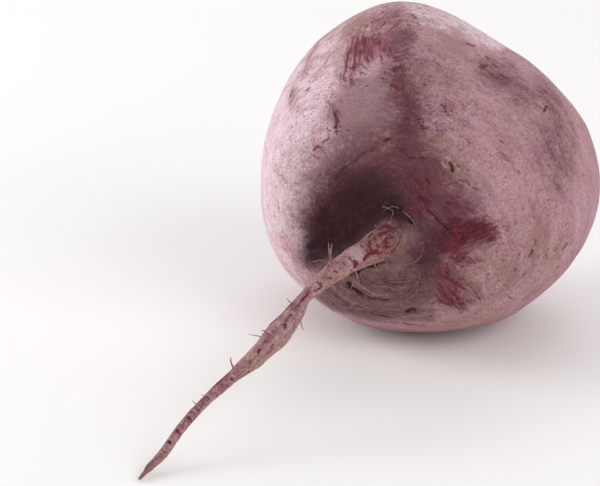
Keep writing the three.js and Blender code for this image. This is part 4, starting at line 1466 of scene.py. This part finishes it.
def stalk_rings(number, age, random):
    """Rings of a stalk that stands upright: across it, up it, outward, whether cut, and how near the rim."""
    height = between(STALK_HEIGHT, age) + STALK_UNEVEN * math.sin(STALK_UNEVEN_TURN * number)
    width = between(STALK_WIDTH, age)
    thickness = between(STALK_THICKNESS, age)
    turn = np.arange(STALK_SIDES) * TURN / STALK_SIDES
    ribs = sum((share * np.cos(count * turn + shift * number) for share, count, shift in STALK_RIBS), 1)
    across = np.cos(turn) * ribs
    outward = np.sin(turn) * ribs
    inner = np.maximum(0, -np.sin(turn)) ** 2
    outward = outward + STALK_HOLLOW * inner * (1 - across ** 2)
    slant = random.uniform(-STALK_SLANT, STALK_SLANT, 2)
    tilt = slant[0] * across * width + slant[1] * outward * thickness
    full = np.ones(STALK_SIDES)
    for i in range(STALK_RINGS):
        share = i / (STALK_RINGS - 1)
        size = STALK_FOOT - STALK_TAPER * share + STALK_FLARE * (1 - share) ** 3
        level = -STALK_SUNK + (height + STALK_SUNK) * share + share * tilt
        yield across * size * width, level, outward * size * thickness, 0 * full, full
    for i in range(CUT_RINGS):
        share = 1 - i / CUT_RINGS
        size = STALK_RIM * (share - CUT_STEP)
        level = height + CUT_RISE - CUT_DISH * smooth((1 - share) * CUT_DISH_SLOPE) + share * tilt
        yield across * size * width, level, outward * size * thickness, full, share * full


def crown_stalk(number, random):
    """One cut stalk in the spiral in which leaves grow: its points, faces, cut mask and section places."""
    age = number / STALK_COUNT
    out = STALK_SPREAD * math.sqrt(number)
    around = number * STALK_ANGLE * RAD
    mound = CROWN_REACH + CROWN_MOUND * math.exp(-((out / CROWN_RADIUS) ** CROWN_STEEPNESS))
    rings = list(stalk_rings(number, age, random))
    x, up, z, cut, rim = (np.concatenate(column) for column in zip(*rings))
    lean = STALK_LEAN * age * RAD
    up, z = up * math.cos(lean) - z * math.sin(lean), up * math.sin(lean) + z * math.cos(lean)
    seat = axis_point(-mound, out, around)
    away = axis_point(0, 1, around) - CENTRE
    back = -ALONG
    sideways = np.cross(away, back)
    points = seat + x[:, None] * sideways + up[:, None] * back + z[:, None] * away
    section = np.stack([x, z, np.full(len(x), number * SECTION_STEP)], axis=1)
    return points, tube_faces(len(rings), STALK_SIDES), cut, rim, section


def make_stalks(material):
    random = np.random.default_rng(SEED)
    stalks = [crown_stalk(number, random) for number in range(1, STALK_COUNT + 1)]
    points, faces = gather([stalk[:2] for stalk in stalks])
    piece = make_piece("crown_stalks", points, faces, material)
    for column, name in ((2, "cut"), (3, "rim"), (4, "section")):
        store(piece, name, np.concatenate([stalk[column] for stalk in stalks]))


# ---- rootlets ----
SIDE_ROOTS = [  # distance along the root, angle round it, length, radius and bend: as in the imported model
    (7, 205, 5, 0.4, (0.5, 0.3, -0.2)),
    (14, 170, 5, 0.42, (0.1, 0.2, -0.6)),
    (19.5, -20, 5, 0.4, (0.2, 0.3, 0.4)),
    (23, 110, 3.5, 0.38, (0.2, 0.1, -0.5)),
    (34, 190, 4, 0.38, (0.3, -0.4, -0.4)),
]
SIDE_ROOT_CURL = 1.6
SIDE_ROOT_STEPS = 6
SIDE_ROOT_SHARE = 0.65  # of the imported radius, which is larger than life
# Hairs in front of the skin: radius, and at each place the pixel across, the pixel down and the lift
# towards the eye in mm.
FREE_HAIRS = [
    (0.22, [(328, 267, -0.6), (330, 258, 0.6), (331, 250, 1.4), (332, 243, 2.0)]),
    (0.13, [(329, 262, 0.3), (321, 260, 1.5), (314, 261, 2.0), (307, 263, 2.2)]),
    (0.14, [(351, 270, 0.2), (353, 279, 1.4), (350, 289, 2.2), (343, 301, 2.6)]),
    (0.20, [(231, 366, 0.0), (229, 360, 0.5), (229, 356, 0.8)]),
    (0.16, [(268, 334, 0.0), (263, 330, 0.7), (260, 331, 1.0)]),
]
# Hairs lying on the skin: radius, and their paths in pixels.
LYING_HAIRS = [
    (0.16, [(383, 206), (389, 209), (393, 213), (391, 220)]),
    (0.14, [(398, 209), (394, 206), (388, 208), (384, 212)]),
    (0.13, [(404, 211), (410, 217), (415, 225), (417, 234)]),
    (0.13, [(390, 281), (400, 282), (412, 281), (426, 283)]),
    (0.14, [(366, 268), (372, 271), (379, 271), (387, 267)]),
    (0.12, [(352, 290), (362, 300), (376, 305), (390, 303)]),
    (0.12, [(322, 286), (334, 297), (350, 305), (366, 308)]),
    (0.12, [(400, 297), (410, 292), (418, 283), (421, 272)]),
    (0.12, [(404, 264), (413, 262), (421, 255), (424, 246)]),
    (0.13, [(360, 275), (366, 283), (376, 288), (388, 288)]),
    (0.12, [(336, 282), (343, 292), (356, 298)]),
    (0.13, [(450, 160), (452, 165), (455, 169)]),
    (0.12, [(372, 312), (386, 314), (402, 312)]),
]
LOOSE_ROOTLETS = 24
LOOSE_ROWS = (205, 262)  # degrees round the root; on its far side in the main view
LOOSE_SCATTER = 22  # degrees
LOOSE_ALONG = (3, 84)
LOOSE_LENGTH = (0.8, 3.2)
LOOSE_BEND = 0.8
LOOSE_RADIUS = (0.1, 0.18)
HAIR_SIDES = 7
STEEP = 0.8  # a thread that starts this nearly upright takes its first side from another direction
HAIR_LIFT = 0.05
HAIR_TAPER = 0.6
SIDE_ROOT_SAMPLES = 3  # points for each span of a line
FREE_HAIR_SAMPLES = 5
LYING_HAIR_SAMPLES = 6


def tube(line, radii):
    """A round thread along a line, as thick as the radii say: its points and faces."""
    line = np.asarray(line, float)
    tangents = np.gradient(line, axis=0)
    tangents /= np.linalg.norm(tangents, axis=1)[:, None]
    turn = np.arange(HAIR_SIDES) * TURN / HAIR_SIDES
    across = np.cross(tangents[0], UP if abs(tangents[0] @ UP) < STEEP else RIGHT)
    rings = []
    for at, tangent, radius in zip(line, tangents, radii):
        across = across - tangent * across.dot(tangent)
        across /= np.linalg.norm(across)
        upward = np.cross(tangent, across)
        rings.append(at + radius * (np.cos(turn)[:, None] * across + np.sin(turn)[:, None] * upward))
    return np.vstack(rings), tube_faces(len(rings), HAIR_SIDES)


def tapered(radius, count):
    return radius * (1 - HAIR_TAPER * np.linspace(0, 1, count) ** 2)


def side_root_line(along, around, length, bend):
    seat = ROOT_LINE.point(along, 0, 0)
    out = ROOT_LINE.point(along, 1, around * RAD) - seat
    reach = (length + root_radius(along)) / SIDE_ROOT_STEPS
    line = [seat]
    for i in range(SIDE_ROOT_STEPS):
        course = out + np.array(bend) * SIDE_ROOT_CURL * i / SIDE_ROOT_STEPS
        line.append(line[-1] + course / np.linalg.norm(course) * reach)
    return centripetal(line, SIDE_ROOT_SAMPLES)


def hair_lines(on_body, on_root):
    """The centre line and the radius of every hair."""
    for along, around, length, radius, bend in SIDE_ROOTS:
        yield side_root_line(along, around, length, bend), SIDE_ROOT_SHARE * radius
    right, up, back = view_axes()
    for radius, places in FREE_HAIRS:
        first_x, first_y, _ = places[0]
        start = on_root.skin.points[on_root.under([(first_x, first_y)])[0]]
        scale = (view_place() - start) @ back / FOCAL_PIXELS
        line = [start + scale * ((x - first_x) * right + (first_y - y) * up) + lift * back
                for x, y, lift in places]
        yield centripetal(line, FREE_HAIR_SAMPLES), radius
    for radius, pixels in LYING_HAIRS:
        spots = on_body.under(pixels)
        line = on_body.skin.points[spots] + on_body.skin.normals[spots] * (radius + HAIR_LIFT)
        yield centripetal(line, LYING_HAIR_SAMPLES), radius


def loose_rootlets(random):
    """Short fine roots, most of them in the two rows in which a beet's side roots grow."""
    for number in range(LOOSE_ROOTLETS):
        along = random.uniform(*LOOSE_ALONG)
        around = LOOSE_ROWS[number % 2] + random.uniform(-LOOSE_SCATTER, LOOSE_SCATTER)
        length = random.uniform(*LOOSE_LENGTH)
        bend = random.uniform(-LOOSE_BEND, LOOSE_BEND, 3)
        yield side_root_line(along, around, length, bend), random.uniform(*LOOSE_RADIUS)


def make_rootlets(on_body, on_root, material):
    random = np.random.default_rng(SEED + 1)
    threads = []
    for line, radius in itertools.chain(hair_lines(on_body, on_root), loose_rootlets(random)):
        line[:, 2] = np.maximum(line[:, 2], radius)
        threads.append(tube(line, tapered(radius, len(line))))
    points, faces = gather(threads)
    make_piece("rootlets", points, faces, material)


make_studio()
body_chart, root_chart = make_skin(skin_material())
make_rootlets(body_chart, root_chart, rootlet_material())
make_stalks(stalk_material())

json.dumps([[list(corner) for corner in box] for box in (CAD_BOX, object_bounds())])
